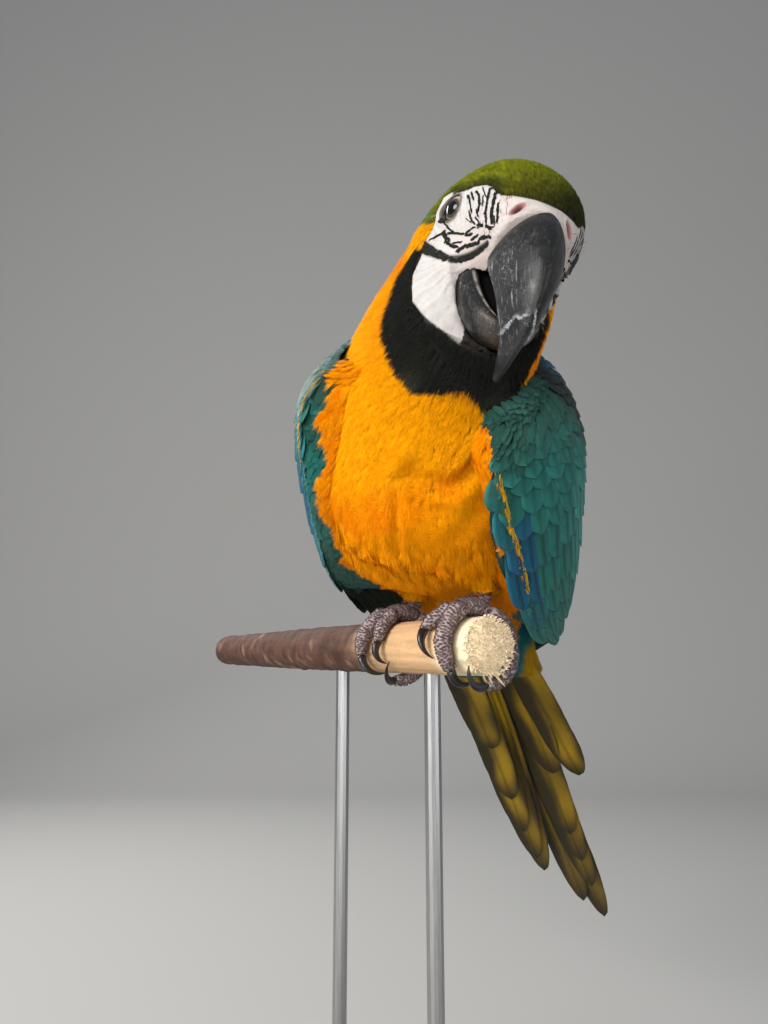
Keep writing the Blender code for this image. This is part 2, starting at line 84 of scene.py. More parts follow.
def into(local, points):
    """Points in metres, as millimetres in a local frame."""
    return (np.asarray(points, float) - local[0]) @ local[1].T / MM


PITCH, YAW = math.radians(36), math.radians(8)
TRUNK_FORWARD = (-math.sin(YAW) * math.cos(PITCH), -math.cos(YAW) * math.cos(PITCH), math.sin(PITCH))
TRUNK = axes_of((-0.004, -0.016, 0.45), TRUNK_FORWARD, (0, 0, 1))
HEAD = axes_of((0.0295, -0.1077, 0.5443), (0.162, -0.864, -0.477), (0.337, -0.406, 0.85))
TAIL_ROOT, TAIL_X = np.array((0.022, 0.07, 0.383)), unit(np.array((0.363, 0.711, -0.602)))
TAIL_Y = unit(np.cross(TAIL_X, (0, 0, 1)))
TAIL_Z = np.cross(TAIL_Y, TAIL_X)
PERCH_AXIS = np.array((-math.sin(math.radians(30)), math.cos(math.radians(30)), 0))
PERCH_BACK = np.cross(PERCH_AXIS, (0, 0, 1))
PERCH_END, PERCH_LENGTH, PERCH_RADIUS = np.array((0.0224, -0.0392, 0.36)), 0.4, 0.015

# Rings of the body: y, x and z of the top, x and z of the bottom, half-width, waist, squareness.
TRUNK_RINGS = (
    (33, -168, 3, -168, -15, 31, 0.5, 2.3),
    (26, -146, 13, -146, -21, 33, 0.5, 2.2),
    (19, -118, 25, -118, -20, 37, 0.5, 2.1),
    (10, -84, 38, -86, -13, 45, 0.46, 2.1),
    (3, -45, 48, -48, -41, 54, 0.46, 2.1),
    (0, 0, 54, -6, -58, 58.5, 0.47, 2.1),
    (0, 36, 55, 23, -61, 57, 0.48, 2.1),
    (2, 66, 57, 47, -50, 49, 0.5, 2.1),
)
HEAD_RINGS = (
    (-3, -55, -11, 25, -73, 39.5, 0.5, 2.2),
    (-2.5, -44, 9, 26.5, -62, 37, 0.55, 2.15),
    (-1.5, -31, 21, 25.5, -55, 34.8, 0.61, 2.05),
    (0, -13, 27.5, 23, -50, 31.6, 0.63, 2.05),
    (0, 5, 27, 16, -42, 28.8, 0.63, 2.05),
    (0, 17, 22, 18, -30, 25.2, 0.56, 2.1),
    (0, 28, 13, 23, -24.5, 20.2, 0.48, 2.1),
    (0, 35.5, 4.2, 26, -20.2, 15.6, 0.34, 1.9),
)
# Rings of each wing, front to tip: x, the oval's half-axes across and up, its low and high edge in degrees.
WING_LEFT = (
    (64, 60, 52, -46, 26),
    (52, 70, 60, -62, 46),
    (24, 79, 65, -68, 58),
    (-18, 81, 66, -63, 60),
    (-60, 81, 65, -52, 60),
    (-100, 78, 62, -34, 60),
    (-140, 71, 58, -8, 60),
    (-178, 62, 52, 14, 62),
    (-214, 53, 46, 32, 64),
    (-240, 46, 42, 44, 62),
)
WING_RIGHT = (
    (72, 48, 44, -4, 44),
    (58, 62, 57, -18, 60),
    (28, 69, 64, -30, 66),
    (-16, 70, 65, -30, 69),
    (-60, 66, 62, -18, 68),
    (-102, 59, 58, 0, 67),
    (-142, 53, 53, 18, 67),
    (-180, 47, 48, 34, 68),
    (-214, 42, 44, 48, 70),
    (-240, 38, 41, 56, 70),
)
WINGS = {"left": (1, WING_LEFT), "right": (-1, WING_RIGHT)}
# Tail feathers: root across, tip along and across in metres, layer from the back down.
TAIL_FEATHERS = {
    "tail_left_1": (0.002, 0.472, 0.001, 0),
    "tail_right_1": (-0.002, 0.438, -0.013, 1),
    "tail_left_2": (0.006, 0.398, 0.003, 2),
    "tail_left_3": (0.0105, 0.345, 0.004, 3),
    "tail_left_4": (0.015, 0.293, 0.005, 4),
    "tail_left_5": (0.019, 0.192, 0.013, 5),
    "tail_left_6": (0.0235, 0.19, 0.034, 6),
    "tail_right_2": (-0.006, 0.364, -0.034, 7),
    "tail_right_3": (-0.0105, 0.338, -0.035, 8),
    "tail_right_4": (-0.015, 0.286, -0.034, 9),
    "tail_right_5": (-0.019, 0.228, -0.029, 10),
    "tail_right_6": (-0.0225, 0.15, -0.024, 11),
}


def spline(rows, at):
    """Rows of numbers at places along them, smooth through every row."""
    rows, at = np.asarray(rows, float), np.asarray(at, float)
    last = len(rows) - 1
    i = np.clip(np.floor(at).astype(int), 0, last - 1)
    t = (at - i)[..., None]
    a, b, c, d = (rows[np.clip(i + k, 0, last)] for k in (-1, 0, 1, 2))
    return 0.5 * (2 * b + (c - a) * t + (2 * a - 5 * b + 4 * c - d) * t**2 + (3 * b - a - 3 * c + d) * t**3)


def step(low, high, value):
    """A smooth step from 0 at low to 1 at high."""
    t = np.clip((value - low) / (high - low), 0, 1)
    return t * t * (3 - 2 * t)


def mix(colour, target, share):
    """Colours moved towards another by a share for each point."""
    return colour + (target - colour) * np.asarray(share, float)[..., None]


def from_ridge(turn):
    """How far round the body from the middle of its back, in degrees."""
    return np.degrees(np.abs(np.angle(np.exp(1j * (turn - np.pi / 2)))))


def body_rows():
    """The rings of trunk and head, one after another, as rows in metres."""
    rows = []
    for local, rings in ((TRUNK, TRUNK_RINGS), (HEAD, HEAD_RINGS)):
        for y, top_x, top_z, bottom_x, bottom_z, half, waist, power in rings:
            top, bottom = out_of(local, ((top_x, y, top_z), (bottom_x, y, bottom_z)))
            rows.append([*top, *bottom, *local[1][1], half * MM, waist, power])
    return np.array(rows)


BODY_ROWS = body_rows()


def oval(top, bottom, side, half, waist, power, turn):
    """Points round a squared oval between its top and bottom, widest at its waist."""
    height = np.linalg.norm(top - bottom, axis=-1, keepdims=True)
    up = (top - bottom) / height
    side = unit(side - up * (side * up).sum(-1, keepdims=True))
    c, s = np.cos(turn)[..., None], np.sin(turn)[..., None]
    out = (np.abs(c) ** power + np.abs(s) ** power) ** (-1 / power)
    reach = np.where(s > 0, height * (1 - waist), height * waist)
    return bottom + up * height * waist + side * half * c * out + up * reach * s * out


def body_point(at, turn):
    """The body's surface: at runs from tail coverts (0) to bill (15), turn from its left over the back."""
    row = spline(BODY_ROWS, at)
    top, bottom, side = row[..., 0:3], row[..., 3:6], row[..., 6:9]
    return oval(top, bottom, side, row[..., 9:10], row[..., 10:11], row[..., 11:12], turn)


def wing_point(name, at, across):
    """A wing's outer face: at runs from its front (0) to its tip (9), across from its low edge to its high.

    Below 0 it carries on over the shoulder towards the neck.
    """
    side, rows = WINGS[name]
    row = spline(rows, np.clip(at, 0, None))
    over = np.clip(-at, 0, None)
    shrink = 1 - 0.55 * over**1.25
    turn = np.radians(row[..., 3] + (row[..., 4] - row[..., 3]) * across)
    y, z = side * row[..., 1] * np.cos(turn) * shrink, row[..., 2] * np.sin(turn) * shrink
    return out_of(TRUNK, np.stack([row[..., 0] + 14 * over, y, z], -1))


def kept_apart(points, gaps, cell):
    """Which of the points to keep, so that each lies at least its own gap from those before it."""
    kept, cells = [], {}
    steps = [(a, b, c) for a in (-1, 0, 1) for b in (-1, 0, 1) for c in (-1, 0, 1)]
    keys = np.floor(points / cell).astype(int).tolist()
    for n, ((x, y, z), (px, py, pz), reach) in enumerate(zip(keys, points.tolist(), gaps**2)):
        near = (q for a, b, c in steps for q in cells.get((x + a, y + b, z + c), ()))
        free = ((px - qx) ** 2 + (py - qy) ** 2 + (pz - qz) ** 2 >= reach for qx, qy, qz in near)
        if reach > 0 and all(free):
            cells.setdefault((x, y, z), []).append((px, py, pz))
            kept.append(n)
    return kept


class Cover:
    """A surface on a grid. Feathers lie along u, and v runs across; heights are measured outwards."""

    def __init__(self, points, closed, outward):
        self.points, self.closed = points, closed
        wide = np.concatenate([points[:, -1:], points, points[:, :1]], 1) if closed else points
        along, across = np.gradient(wide, axis=0), np.gradient(wide, axis=1)
        if closed:
            along, across = along[:, 1:-1], across[:, 1:-1]
        normal = unit(np.cross(along, across))
        if (normal * outward).sum(-1).mean() < 0:
            normal = -normal
        self.normal = normal
        self.scale = np.stack([np.linalg.norm(along, axis=-1), np.linalg.norm(across, axis=-1)], -1)

    def read(self, grid, u, v):
        """Values of a grid between its points; a closed cover runs on round its seam."""
        rows, columns = self.points.shape[:2]
        u = np.clip(u, 0, rows - 1.001)
        i, j = np.floor(u).astype(int), np.floor(v).astype(int)
        if self.closed:
            left, right, b = j % columns, (j + 1) % columns, (v - j)[..., None]
        else:
            left = np.clip(j, 0, columns - 2)
            right, b = left + 1, (np.clip(v, 0, columns - 1) - left)[..., None]
        a = (u - i)[..., None]
        near = grid[i, left] * (1 - b) + grid[i, right] * b
        far = grid[i + 1, left] * (1 - b) + grid[i + 1, right] * b
        return near * (1 - a) + far * a

    def place(self, u, v, height):
        """Points at grid places, raised off the surface."""
        return self.read(self.points, u, v) + unit(self.read(self.normal, u, v)) * height[..., None]

    def walk(self, u, v, x, y, swing):
        """Grid places x metres along and y across feathers that are swung round their roots."""
        c, s = np.cos(swing)[:, None], np.sin(swing)[:, None]
        scale = np.maximum(self.read(self.scale, u, v), 1e-5)
        return u[:, None] + (x * c - y * s) / scale[:, 0:1], v[:, None] + (x * s + y * c) / scale[:, 1:2]

    def patch(self, u, v):
        """Places of the roots on the bake map's unit square."""
        rows, columns = self.points.shape[:2]
        return np.stack([0.02 + 0.96 * u / rows, 0.02 + 0.96 * (v % columns) / columns], -1)

    def scatter(self, spacing, tries):
        """Roots spread evenly but not in lines, each at least its own spacing from those before it."""
        rows, columns = self.points.shape[:2]
        flat = self.scale.prod(-1).ravel() / np.maximum(spacing.ravel(), 1e-5) ** 2 * (spacing.ravel() > 0)
        share = np.cumsum(flat)
        pick = np.searchsorted(share, RANDOM.random(tries) * share[-1])
        u = np.clip(pick // columns + RANDOM.random(tries), 0, rows - 1.01)
        v = pick % columns + RANDOM.random(tries)
        if not self.closed:
            v = np.clip(v, 0, columns - 1.01)
        gap = self.read(spacing[..., None], u, v)[..., 0]
        kept = kept_apart(self.read(self.points, u, v), gap, float(spacing.max()))
        return u[kept], v[kept], gap[kept]


BODY_END, BODY_STEPS, BODY_TURNS = 15, 451, 220
BODY_AT = np.linspace(BODY_END, 0, BODY_STEPS)[:, None] + np.zeros((1, BODY_TURNS))
BODY_TURN = np.linspace(0, 2 * np.pi, BODY_TURNS, endpoint=False)[None] + np.zeros((BODY_STEPS, 1))


def wander(points, size, seed):
    """Smooth values between -1 and 1 that wander over a given size."""
    q = np.asarray(points) / size + seed
    value = 0.0
    for turn, weight in ((1.0, 0.55), (2.1, 0.3), (4.3, 0.15)):
        a, b, c = (q * turn).T
        first, second = a + 1.7 * np.sin(b * 1.3 + seed), c * 1.1 + 1.3 * np.sin(a * 0.9 + b)
        value += weight * np.sin(first) * np.cos(second)
    return value


# Soft furrows of the breast: places along the body and degrees round it, then depth and width in millimetres.
FURROWS = (
    (((7.0, 262), (6.88, 272), (6.75, 282), (6.8, 290), (6.95, 296), (7.25, 302), (7.6, 308)), 3.5, 4.4),
    (((6.85, 256), (6.35, 258), (5.45, 256), (5.0, 258)), 1.4, 2.4),
    (((6.2, 300), (6.0, 292), (5.75, 286)), 1.2, 5.0),
    (((6.0, 235), (5.6, 228), (5.2, 222)), 0.8, 6.0),
)

# Where the belly's feathers end over the feet: degrees round the body, and places along it.
BELLY_HEM = (
    (240, 258, 274, 282, 292, 300, 308, 330),
    (4.9, 4.95, 4.8, 4.5, 4.25, 4.15, 4.25, 4.6),
)
# In millimetres: how far the hem stands out, and how deep the left cheek is hollowed.
HEM_STEP, CHEEK_HOLLOW = 1.6, 4.6


def body_relief(at, turn):
    """How far the plumage swells from the smooth body, in metres."""
    flat, round_ = at.ravel(), np.degrees(turn.ravel()) % 360
    swell = 0.5 * wander(np.stack([flat * 30, round_ * 0.9, 0 * flat], 1), 17.0, 2.0) * step(12.0, 8.0, flat)
    for line, depth, width in FURROWS:
        fine = spline(line, np.linspace(0, len(line) - 1, 40))
        away = np.hypot((flat[:, None] - fine[None, :, 0]) * 32, round_[:, None] - fine[None, :, 1]).min(1)
        swell = swell - depth * np.exp(-((away / width) ** 2))
        swell = swell + 0.5 * depth * np.exp(-(((away - 2 * width) / width) ** 2))
    past = flat - np.interp(round_, *BELLY_HEM)
    ledge = HEM_STEP * step(0.5, 0.0, past) * step(-0.05, 0.0, past) - HEM_STEP * step(0.0, -0.12, past)
    swell = swell + step(225, 250, round_) * step(335, 312, round_) * ledge
    cheek = step(302, 322, round_) * step(359, 345, round_) * step(9.1, 10.0, flat) * step(13.3, 12.3, flat)
    return (swell - CHEEK_HOLLOW * cheek).reshape(at.shape) * MM


def make_body_cover():
    """The body's surface with its relief, as a cover."""
    points = body_point(BODY_AT, BODY_TURN)
    smooth = Cover(points, True, points - points.mean(1, keepdims=True))
    points = points + smooth.normal * body_relief(BODY_AT, BODY_TURN)[..., None]
    return Cover(points, True, smooth.normal)


BODY = make_body_cover()


# ---------------------------------------------------------------- markings and painted light and shade, shared by skin and coat

GOLD = np.array((0.98, 0.38, 0.0015))
DEEP_GOLD = np.array((0.93, 0.26, 0.001))
CROWN = np.array((0.072, 0.072, 0.009))
# Painted light and painted shade on the crown's green.
PAINTED_CROWN_LIGHT = np.array((0.21, 0.235, 0.01))
PAINTED_CROWN_SHADE = np.array((0.022, 0.023, 0.008))
NAPE = np.array((0.022, 0.17, 0.12))
TEAL = np.array((0.014, 0.135, 0.113))
BLUE = np.array((0.006, 0.088, 0.175))
BLACK = np.array((0.015, 0.0155, 0.013))
BIB_SHEEN = np.array((0.036, 0.041, 0.029))
FACE = np.array((0.5, 0.478, 0.458))
OLIVE = np.array((0.46, 0.28, 0.004))

# The lower edge of the crown's feathers: places along the head, and its height there.
CROWN_EDGE = (
    (-30, -15, -7, 0, 7, 10, 14, 17, 19.5, 21.7, 25, 29, 32, 40),
    (-9, 0.5, 5.3, 5.3, 5.6, 7.0, 8.1, 8.9, 8.0, 7.0, 5.5, 6.8, 7.9, 8.1),
)
# The bare face's rear edge: heights on the head, and its place along the head there.
REAR_EDGE = (
    (-58, -57, -55.8, -54.2, -53.2, -52.4, -51, -49.5, -46, -41, -35, -27, -18, -14, -10, -6, -2, 2, 6),
    (30, 27, 25.2, 23.5, 22, 20, 17, 14, 8, 4, 0, -1, -5, -4.5, -5, -8, -10.5, -12, -10),
)
# Upper and lower edge of the black band over the cheek: places along the head, and heights.
BAND_TOP = (
    (-6, 2, 5, 8, 11.6, 13.1, 15.7, 18.2, 20.9, 24.7, 26.4),
    (-18.5, -20.6, -21.6, -22.0, -22.6, -21.9, -20.2, -18.5, -16.8, -14.4, -13.0),
)
BAND_LOW = (
    (-6, 0, 3, 5.7, 9.6, 12.3, 13.5, 15.5, 17.5, 20.2, 23.7, 27.1),
    (-24.5, -25.0, -25.3, -25.4, -25.3, -25.0, -24.3, -22.8, -21.3, -19.2, -16.9, -14.0),
)
# How far round from the ridge the green and blue of the back reach, by place along the body.
GREEN_LIMIT = ((0, 4, 6.5, 7.5, 8.3, 9.0, 9.3), (200, 62, 52, 50, 54, 70, 79))
# The bib: where it starts along the body by degrees from the ridge, and its two side edges by place along.
BIB_START = (
    (80, 92, 104, 118, 130, 154, 164, 172, 180),
    (8.0, 7.95, 7.86, 7.84, 7.78, 7.76, 7.84, 7.95, 8.06),
)
BIB_SIDE = ((7.8, 7.95, 8.1, 8.4, 9.15, 9.6, 15), (107, 96, 88, 88, 94, 95, 93))
BIB_SIDE_LEFT = ((7.8, 7.9, 8.25, 8.7, 9.2, 9.6, 15), (146, 140, 132, 128, 124, 100, 91))


def crown_edge(x):
    """Height of the crown feathers' lower edge along the head."""
    return np.interp(x, *CROWN_EDGE)


def rear_edge(z):
    """Where the bare face ends behind the eye and the cheek, along the head, for each height."""
    return np.interp(z, *REAR_EDGE)


def bare(head):
    """How far inside the bare face a point is, in millimetres; negative on the feathers."""
    x, _, z = head.T
    ruffled = 13 * step(-25, -31, z) * (head[:, 1] > 0)
    inside = np.minimum(crown_edge(x) - z, x - rear_edge(z) - ruffled)
    return np.minimum(inside, z + 58.5)


def band(head):
    """How far inside the black band between the striped face and the cheek, in millimetres."""
    x, _, z = head.T
    top, low = np.interp(x, *BAND_TOP), np.interp(x, *BAND_LOW)
    return np.where(x < 26.5, np.minimum(top - z, z - low), -1.0)


def plumage(points, at, turn):
    """Colour of the plumage at points of the body, given where each lies along and round it; the crown
    carries painted light and shade.
    """
    head, ridge = into(HEAD, points), from_ridge(turn)
    x, y, z = head.T
    uneven = wander(points, 0.006, 1.3)
    deep = np.clip(step(0.1, 1.0, wander(points, 0.022, 4.0)) + 0.45 * step(7.2, 5.6, at), 0, 1)
    # Painted light and shade on the crown: lighter towards its top, back and the bird's right, darker towards
    # its front, the bird's left and low down.
    lit = step(-4.0, 26.0, z - 0.45 * x - 0.55 * y + 4 * uneven)
    painted_shade = step(3.0, 24.0, x * 0.55 + y * 0.75 - 0.35 * z + 4 * uneven)
    # Painted shade along the crown's lower edge, over the bare face.
    hem = step(6.0, 0.5, z - crown_edge(x)) * step(-14, -6, x) * step(26, 22, x)
    crown = mix(mix(CROWN, PAINTED_CROWN_LIGHT, lit * 0.75), PAINTED_CROWN_SHADE, painted_shade * 0.95)
    crown = mix(crown, PAINTED_CROWN_SHADE * 1.3, hem * 0.85)
    crown = mix(crown, mix(NAPE, BLUE, step(9.0, 6.5, at)), step(10.2, 8.7, at + 0.15 * uneven))
    on_crown = np.where(z + 1.5 * uneven > -10.5, 200, -10)
    green_limit = np.where(at > 9.3, on_crown, np.interp(at, *GREEN_LIMIT))
    colour = np.where((ridge + 3.0 * uneven < green_limit)[:, None], crown, mix(GOLD, DEEP_GOLD, deep))
    bib = at > np.interp(ridge, *BIB_START) - 0.05 + 0.03 * uneven
    bib &= ridge + 1.5 * uneven > np.where(y > 0, np.interp(at, *BIB_SIDE_LEFT), np.interp(at, *BIB_SIDE))
    bib &= (z + 1.2 * uneven < -23.0) | (x > 4)
    black = mix(BLACK, BIB_SHEEN, step(0.0, 0.8, wander(points, 0.015, 2.0)))
    colour = np.where(bib[:, None], black, colour)
    yellow = step(0.06, 0.064, points[:, 0]) * step(1.6, 1.2, at) * (np.sin(turn) < 0)
    covert = mix(TEAL * 0.8 + BLUE * 0.2, OLIVE * (0.75, 0.66, 0.8), yellow)
    return mix(colour, covert, step(2.4, 1.6, at + 0.2 * uneven))


# ---------------------------------------------------------------- materials


def group_sockets(name, inputs, outputs):
    """A new shader node group with named inputs and outputs."""
    group = bpy.data.node_groups.new(name, "ShaderNodeTree")
    for label, kind, value in inputs:
        socket = group.interface.new_socket(label, in_out="INPUT", socket_type=kind)
        if value is not None:
            socket.default_value = value
    for label, kind in outputs:
        group.interface.new_socket(label, in_out="OUTPUT", socket_type=kind)
    return group, group.nodes.new("NodeGroupInput"), group.nodes.new("NodeGroupOutput")


def feed(tree, node, values):
    """Sets a node's inputs; a value that is another node's output is linked."""
    for key, value in values.items():
        if isinstance(value, bpy.types.NodeSocket):
            tree.links.new(value, node.inputs[key])
        else:
            node.inputs[key].default_value = value
    return node


def put(tree, kind, values=None, **settings):
    """A new node with its settings, and its inputs fed."""
    node = tree.nodes.new(kind)
    for key, value in settings.items():
        setattr(node, key, value)
    return feed(tree, node, values or {})


def calc(tree, operation, *terms):
    """The result of a Math node on outputs or numbers."""
    return put(tree, "ShaderNodeMath", dict(enumerate(terms)), operation=operation).outputs[0]


def noise(tree, place, scale, detail, **others):
    """The factor of a noise texture."""
    values = {"Vector": place, "Scale": scale, "Detail": detail, **others}
    return put(tree, "ShaderNodeTexNoise", values).outputs["Fac"]


def fade(tree, value, low, high, start, end):
    """An output mapped from low and high to start and end."""
    values = {"Value": value, 1: low, 2: high, 3: start, 4: end}
    return put(tree, "ShaderNodeMapRange", values).outputs["Result"]


def stretched(tree, scale):
    """The object's own coordinates, scaled along each axis."""
    place = put(tree, "ShaderNodeTexCoord").outputs["Object"]
    return put(tree, "ShaderNodeMapping", {"Vector": place, "Scale": scale}).outputs["Vector"]


def mottle_group():
    """Uneven tone over a surface, as a factor round 1, and the same noise as a height."""
    group, entry, leave = group_sockets(
        "mottle",
        (("Scale", "NodeSocketFloat", 60.0), ("Strength", "NodeSocketFloat", 0.2)),
        (("Tone", "NodeSocketFloat"), ("Height", "NodeSocketFloat")),
    )
    place, scale = put(group, "ShaderNodeTexCoord").outputs["Object"], entry.outputs["Scale"]
    cloud = noise(group, place, scale, 5.0, Roughness=0.6)
    scaled = calc(group, "MULTIPLY", calc(group, "SUBTRACT", cloud, 0.5), entry.outputs["Strength"])
    feed(group, leave, {"Tone": calc(group, "ADD", scaled, 1.0), "Height": cloud})
    return group


def barb_group():
    """The fine slanting ridges of barbs, from a map whose x runs along the shaft and y across it."""
    group, entry, leave = group_sockets(
        "barbs",
        (
            ("Map", "NodeSocketVector", None),
            ("Lines", "NodeSocketFloat", 40.0),
            ("Slant", "NodeSocketFloat", 0.5),
        ),
        (("Height", "NodeSocketFloat"),),
    )
    split = put(group, "ShaderNodeSeparateXYZ", {0: entry.outputs["Map"]})
    lean = calc(group, "MULTIPLY", calc(group, "ABSOLUTE", split.outputs["Y"]), entry.outputs["Slant"])
    lines = calc(group, "MULTIPLY", calc(group, "SUBTRACT", split.outputs["X"], lean), entry.outputs["Lines"])
    feed(group, leave, {"Height": calc(group, "SINE", lines)})
    return group


MOTTLE, BARBS = mottle_group(), barb_group()


def tinted(tree, colour, factor):
    """A colour output multiplied by a factor output."""
    values = {0: 1.0, "A": colour, "B": factor}
    return put(tree, "ShaderNodeMix", values, data_type="RGBA", blend_type="MULTIPLY").outputs["Result"]


def new_material(name, roughness, specular=0.5, **others):
    """A material with plain values on its shader's own sockets; others names more of them."""
    made = bpy.data.materials.new(name)
    made.use_nodes = True
    tree, shader = made.node_tree, made.node_tree.nodes["Principled BSDF"]
    values = {"Roughness": roughness, "Specular IOR Level": specular}
    values.update({label.replace("_", " "): value for label, value in others.items()})
    return made, tree, feed(tree, shader, values)


def bumped(tree, shader, height, distance, strength):
    """Gives the shader relief from a height."""
    bump = put(tree, "ShaderNodeBump", {"Strength": strength, "Distance": distance, "Height": height})
    feed(tree, shader, {"Normal": bump.outputs["Normal"]})


def coloured(tree, shader, scale, strength):
    """Colours the shader from the mesh, made uneven; gives the unevenness as a height."""
    colour = put(tree, "ShaderNodeAttribute", attribute_name="plume").outputs["Color"]
    uneven = put(tree, "ShaderNodeGroup", {"Scale": scale, "Strength": strength}, node_tree=MOTTLE)
    feed(tree, shader, {"Base Color": tinted(tree, colour, uneven.outputs["Tone"])})
    return uneven.outputs["Height"]


def feather_material(name, roughness, specular, sheen, lines, tone, depth=0.0002):
    """Colours from the mesh, uneven tone, and barb ridges."""
    made, tree, shader = new_material(name, roughness, specular, Sheen_Weight=sheen, Sheen_Roughness=0.45)
    coloured(tree, shader, 220.0, tone)
    place = put(tree, "ShaderNodeUVMap", uv_map="vane").outputs["UV"]
    barbs = put(tree, "ShaderNodeGroup", {"Map": place, "Lines": lines}, node_tree=BARBS)
    bumped(tree, shader, barbs.outputs["Height"], depth, 0.6)
    return made


SOFT_FEATHERS = feather_material("soft_feathers", 0.8, 0.04, 0.0, 60.0, 0.12, 0.0001)
WING_FEATHERS = feather_material("wing_feathers", 0.5, 0.16, 0.03, 90.0, 0.3)
QUILL_FEATHERS = feather_material("quill_feathers", 0.5, 0.16, 0.0, 420.0, 0.3)


# ---------------------------------------------------------------- building meshes


def linked(name, data):
    """A new object in the scene."""
    made = bpy.data.objects.new(name, data)
    bpy.context.scene.collection.objects.link(made)
    return made


def paint(mesh, colours):
    """Gives each vertex its colour."""
    layer = mesh.color_attributes.new("plume", "FLOAT_COLOR", "POINT")
    rows = np.column_stack([colours, np.ones(len(colours))])
    layer.data.foreach_set("color", rows.ravel().astype(np.float32))


def dressed(made, surface):
    """The object with one material all over."""
    made.data.materials.clear()
    made.data.materials.append(surface)
    return made


def object_from(bm, name, surface=None):
    """A new smooth object from a bmesh, which is freed."""
    mesh = bpy.data.meshes.new(name)
    bm.to_mesh(mesh)
    bm.free()
    mesh.shade_smooth()
    if surface:
        mesh.materials.append(surface)
    return linked(name, mesh)


def mesh_object(name, vertices, faces, surface, colours, maps):
    """One object from arrays: faces hold three or four vertices, maps give each vertex a pair of numbers."""
    faces = np.asarray(faces)
    mesh = bpy.data.meshes.new(name)
    count, size = faces.shape
    mesh.vertices.add(len(vertices))
    mesh.vertices.foreach_set("co", np.asarray(vertices, np.float32).ravel())
    mesh.loops.add(count * size)
    mesh.loops.foreach_set("vertex_index", faces.ravel().astype(np.int32))
    mesh.polygons.add(count)
    mesh.polygons.foreach_set("loop_start", np.arange(0, count * size, size, dtype=np.int32))
    mesh.update(calc_edges=True)
    mesh.shade_smooth()
    paint(mesh, colours)
    for label, pairs in maps.items():
        layer = mesh.uv_layers.new(name=label)
        layer.data.foreach_set("uv", np.asarray(pairs, np.float32)[faces.ravel()].ravel())
    mesh.materials.append(surface)
    return linked(name, mesh)


def vane_outline(x, bluntness):
    """Half-width of a small feather along its shaft, as a share of its widest."""
    return np.clip(np.sin(np.pi * np.clip(x, 0, 1) ** 0.75) ** bluntness, 0.12, 1)


class Vane:
    """A small feather with a row of pointed barb clumps each side: x along its shaft, y across it."""

    def __init__(self, clumps, bluntness, fray, cut):
        shaft = np.linspace(0, 0.93, clumps + 1)
        x, y, fringe, faces = list(shaft), [0.0] * (clumps + 1), [0.0] * (clumps + 1), []
        for side in (1, -1):
            first = len(x)
            for k in range(clumps + 1):
                x.append(shaft[k] + 0.09 * (1 - 0.5 * shaft[k]))
                y.append(side * cut * vane_outline(shaft[k] * 0.95 + 0.05, bluntness))
                fringe.append(0.35)
            for k in range(clumps):
                middle = 0.5 * (shaft[k] + shaft[k + 1])
                x.append(middle + fray * (1.1 - 0.45 * middle))
                width = vane_outline(middle * 0.93 + 0.06, bluntness)
                y.append(side * width * (1 - 0.45 * step(0.8, 1.0, middle)))
                fringe.append(1.0)
            for k in range(clumps):
                a, b, c, d = k, k + 1, first + k + 1, first + k
                tip = first + clumps + 1 + k
                ring = [(a, b, c), (a, c, d), (d, c, tip)]
                faces += ring if side < 0 else [f[::-1] for f in ring]
        self.x, self.y, self.fringe = np.array(x), np.array(y), np.array(fringe)
        self.faces, self.strand = np.array(faces), np.zeros(len(x), int)


class Fan:
    """A small soft feather as a spread of pointed strands: x along it, y across it."""

    def __init__(self, strands):
        x, y, fringe, faces = [], [], [], []
        for k in range(strands):
            side = 2 * (k + 0.5) / strands - 1
            reach, wide = 1.0 - 0.3 * side * side, 0.7 / strands
            x += [0.0, 0.52, 0.56, reach]
            y += [0.25 * side, 0.8 * side - wide, 0.8 * side + wide, side]
            fringe += [0.0, 0.3, 0.3, 1.0]
            base = 4 * k
            faces += [(base, base + 1, base + 2), (base + 1, base + 3, base + 2)]
        self.x, self.y, self.fringe = np.array(x), np.array(y), np.array(fringe)
        self.faces, self.strand = np.array(faces), np.repeat(np.arange(strands), 4)


class Plume:
    """Feathers gathered for one coat piece."""

    def __init__(self):
        self.points, self.faces, self.colours, self.vane, self.root = [], [], [], [], []
        self.count = 0

    def add(self, points, faces, colours, vane, root):
        """Adds feathers that share their faces: one row of points and colours for each."""
        many, size = points.shape[:2]
        base = self.count + np.arange(many)[:, None, None] * size
        self.faces.append((faces[None] + base).reshape(-1, faces.shape[1]))
        self.points.append(points.reshape(-1, 3))
        self.colours.append(colours.reshape(-1, 3))
        self.vane.append(np.broadcast_to(vane, (many, size, 2)).reshape(-1, 2))
        patch = (vane * (1.0, 0.5) - (0.5, 0.0)) * 0.003
        self.root.append((root[:, None] + patch[None]).reshape(-1, 2))
        self.count += many * size

    def make(self, name, surface):
        """The gathered feathers as one piece."""
        points, faces, colours, vane, root = (
            np.concatenate(rows) for rows in (self.points, self.faces, self.colours, self.vane, self.root)
        )
        maps = {"OFBake": root, "vane": vane}
        return mesh_object(name, points, faces, surface, np.clip(colours, 0, 1), maps)


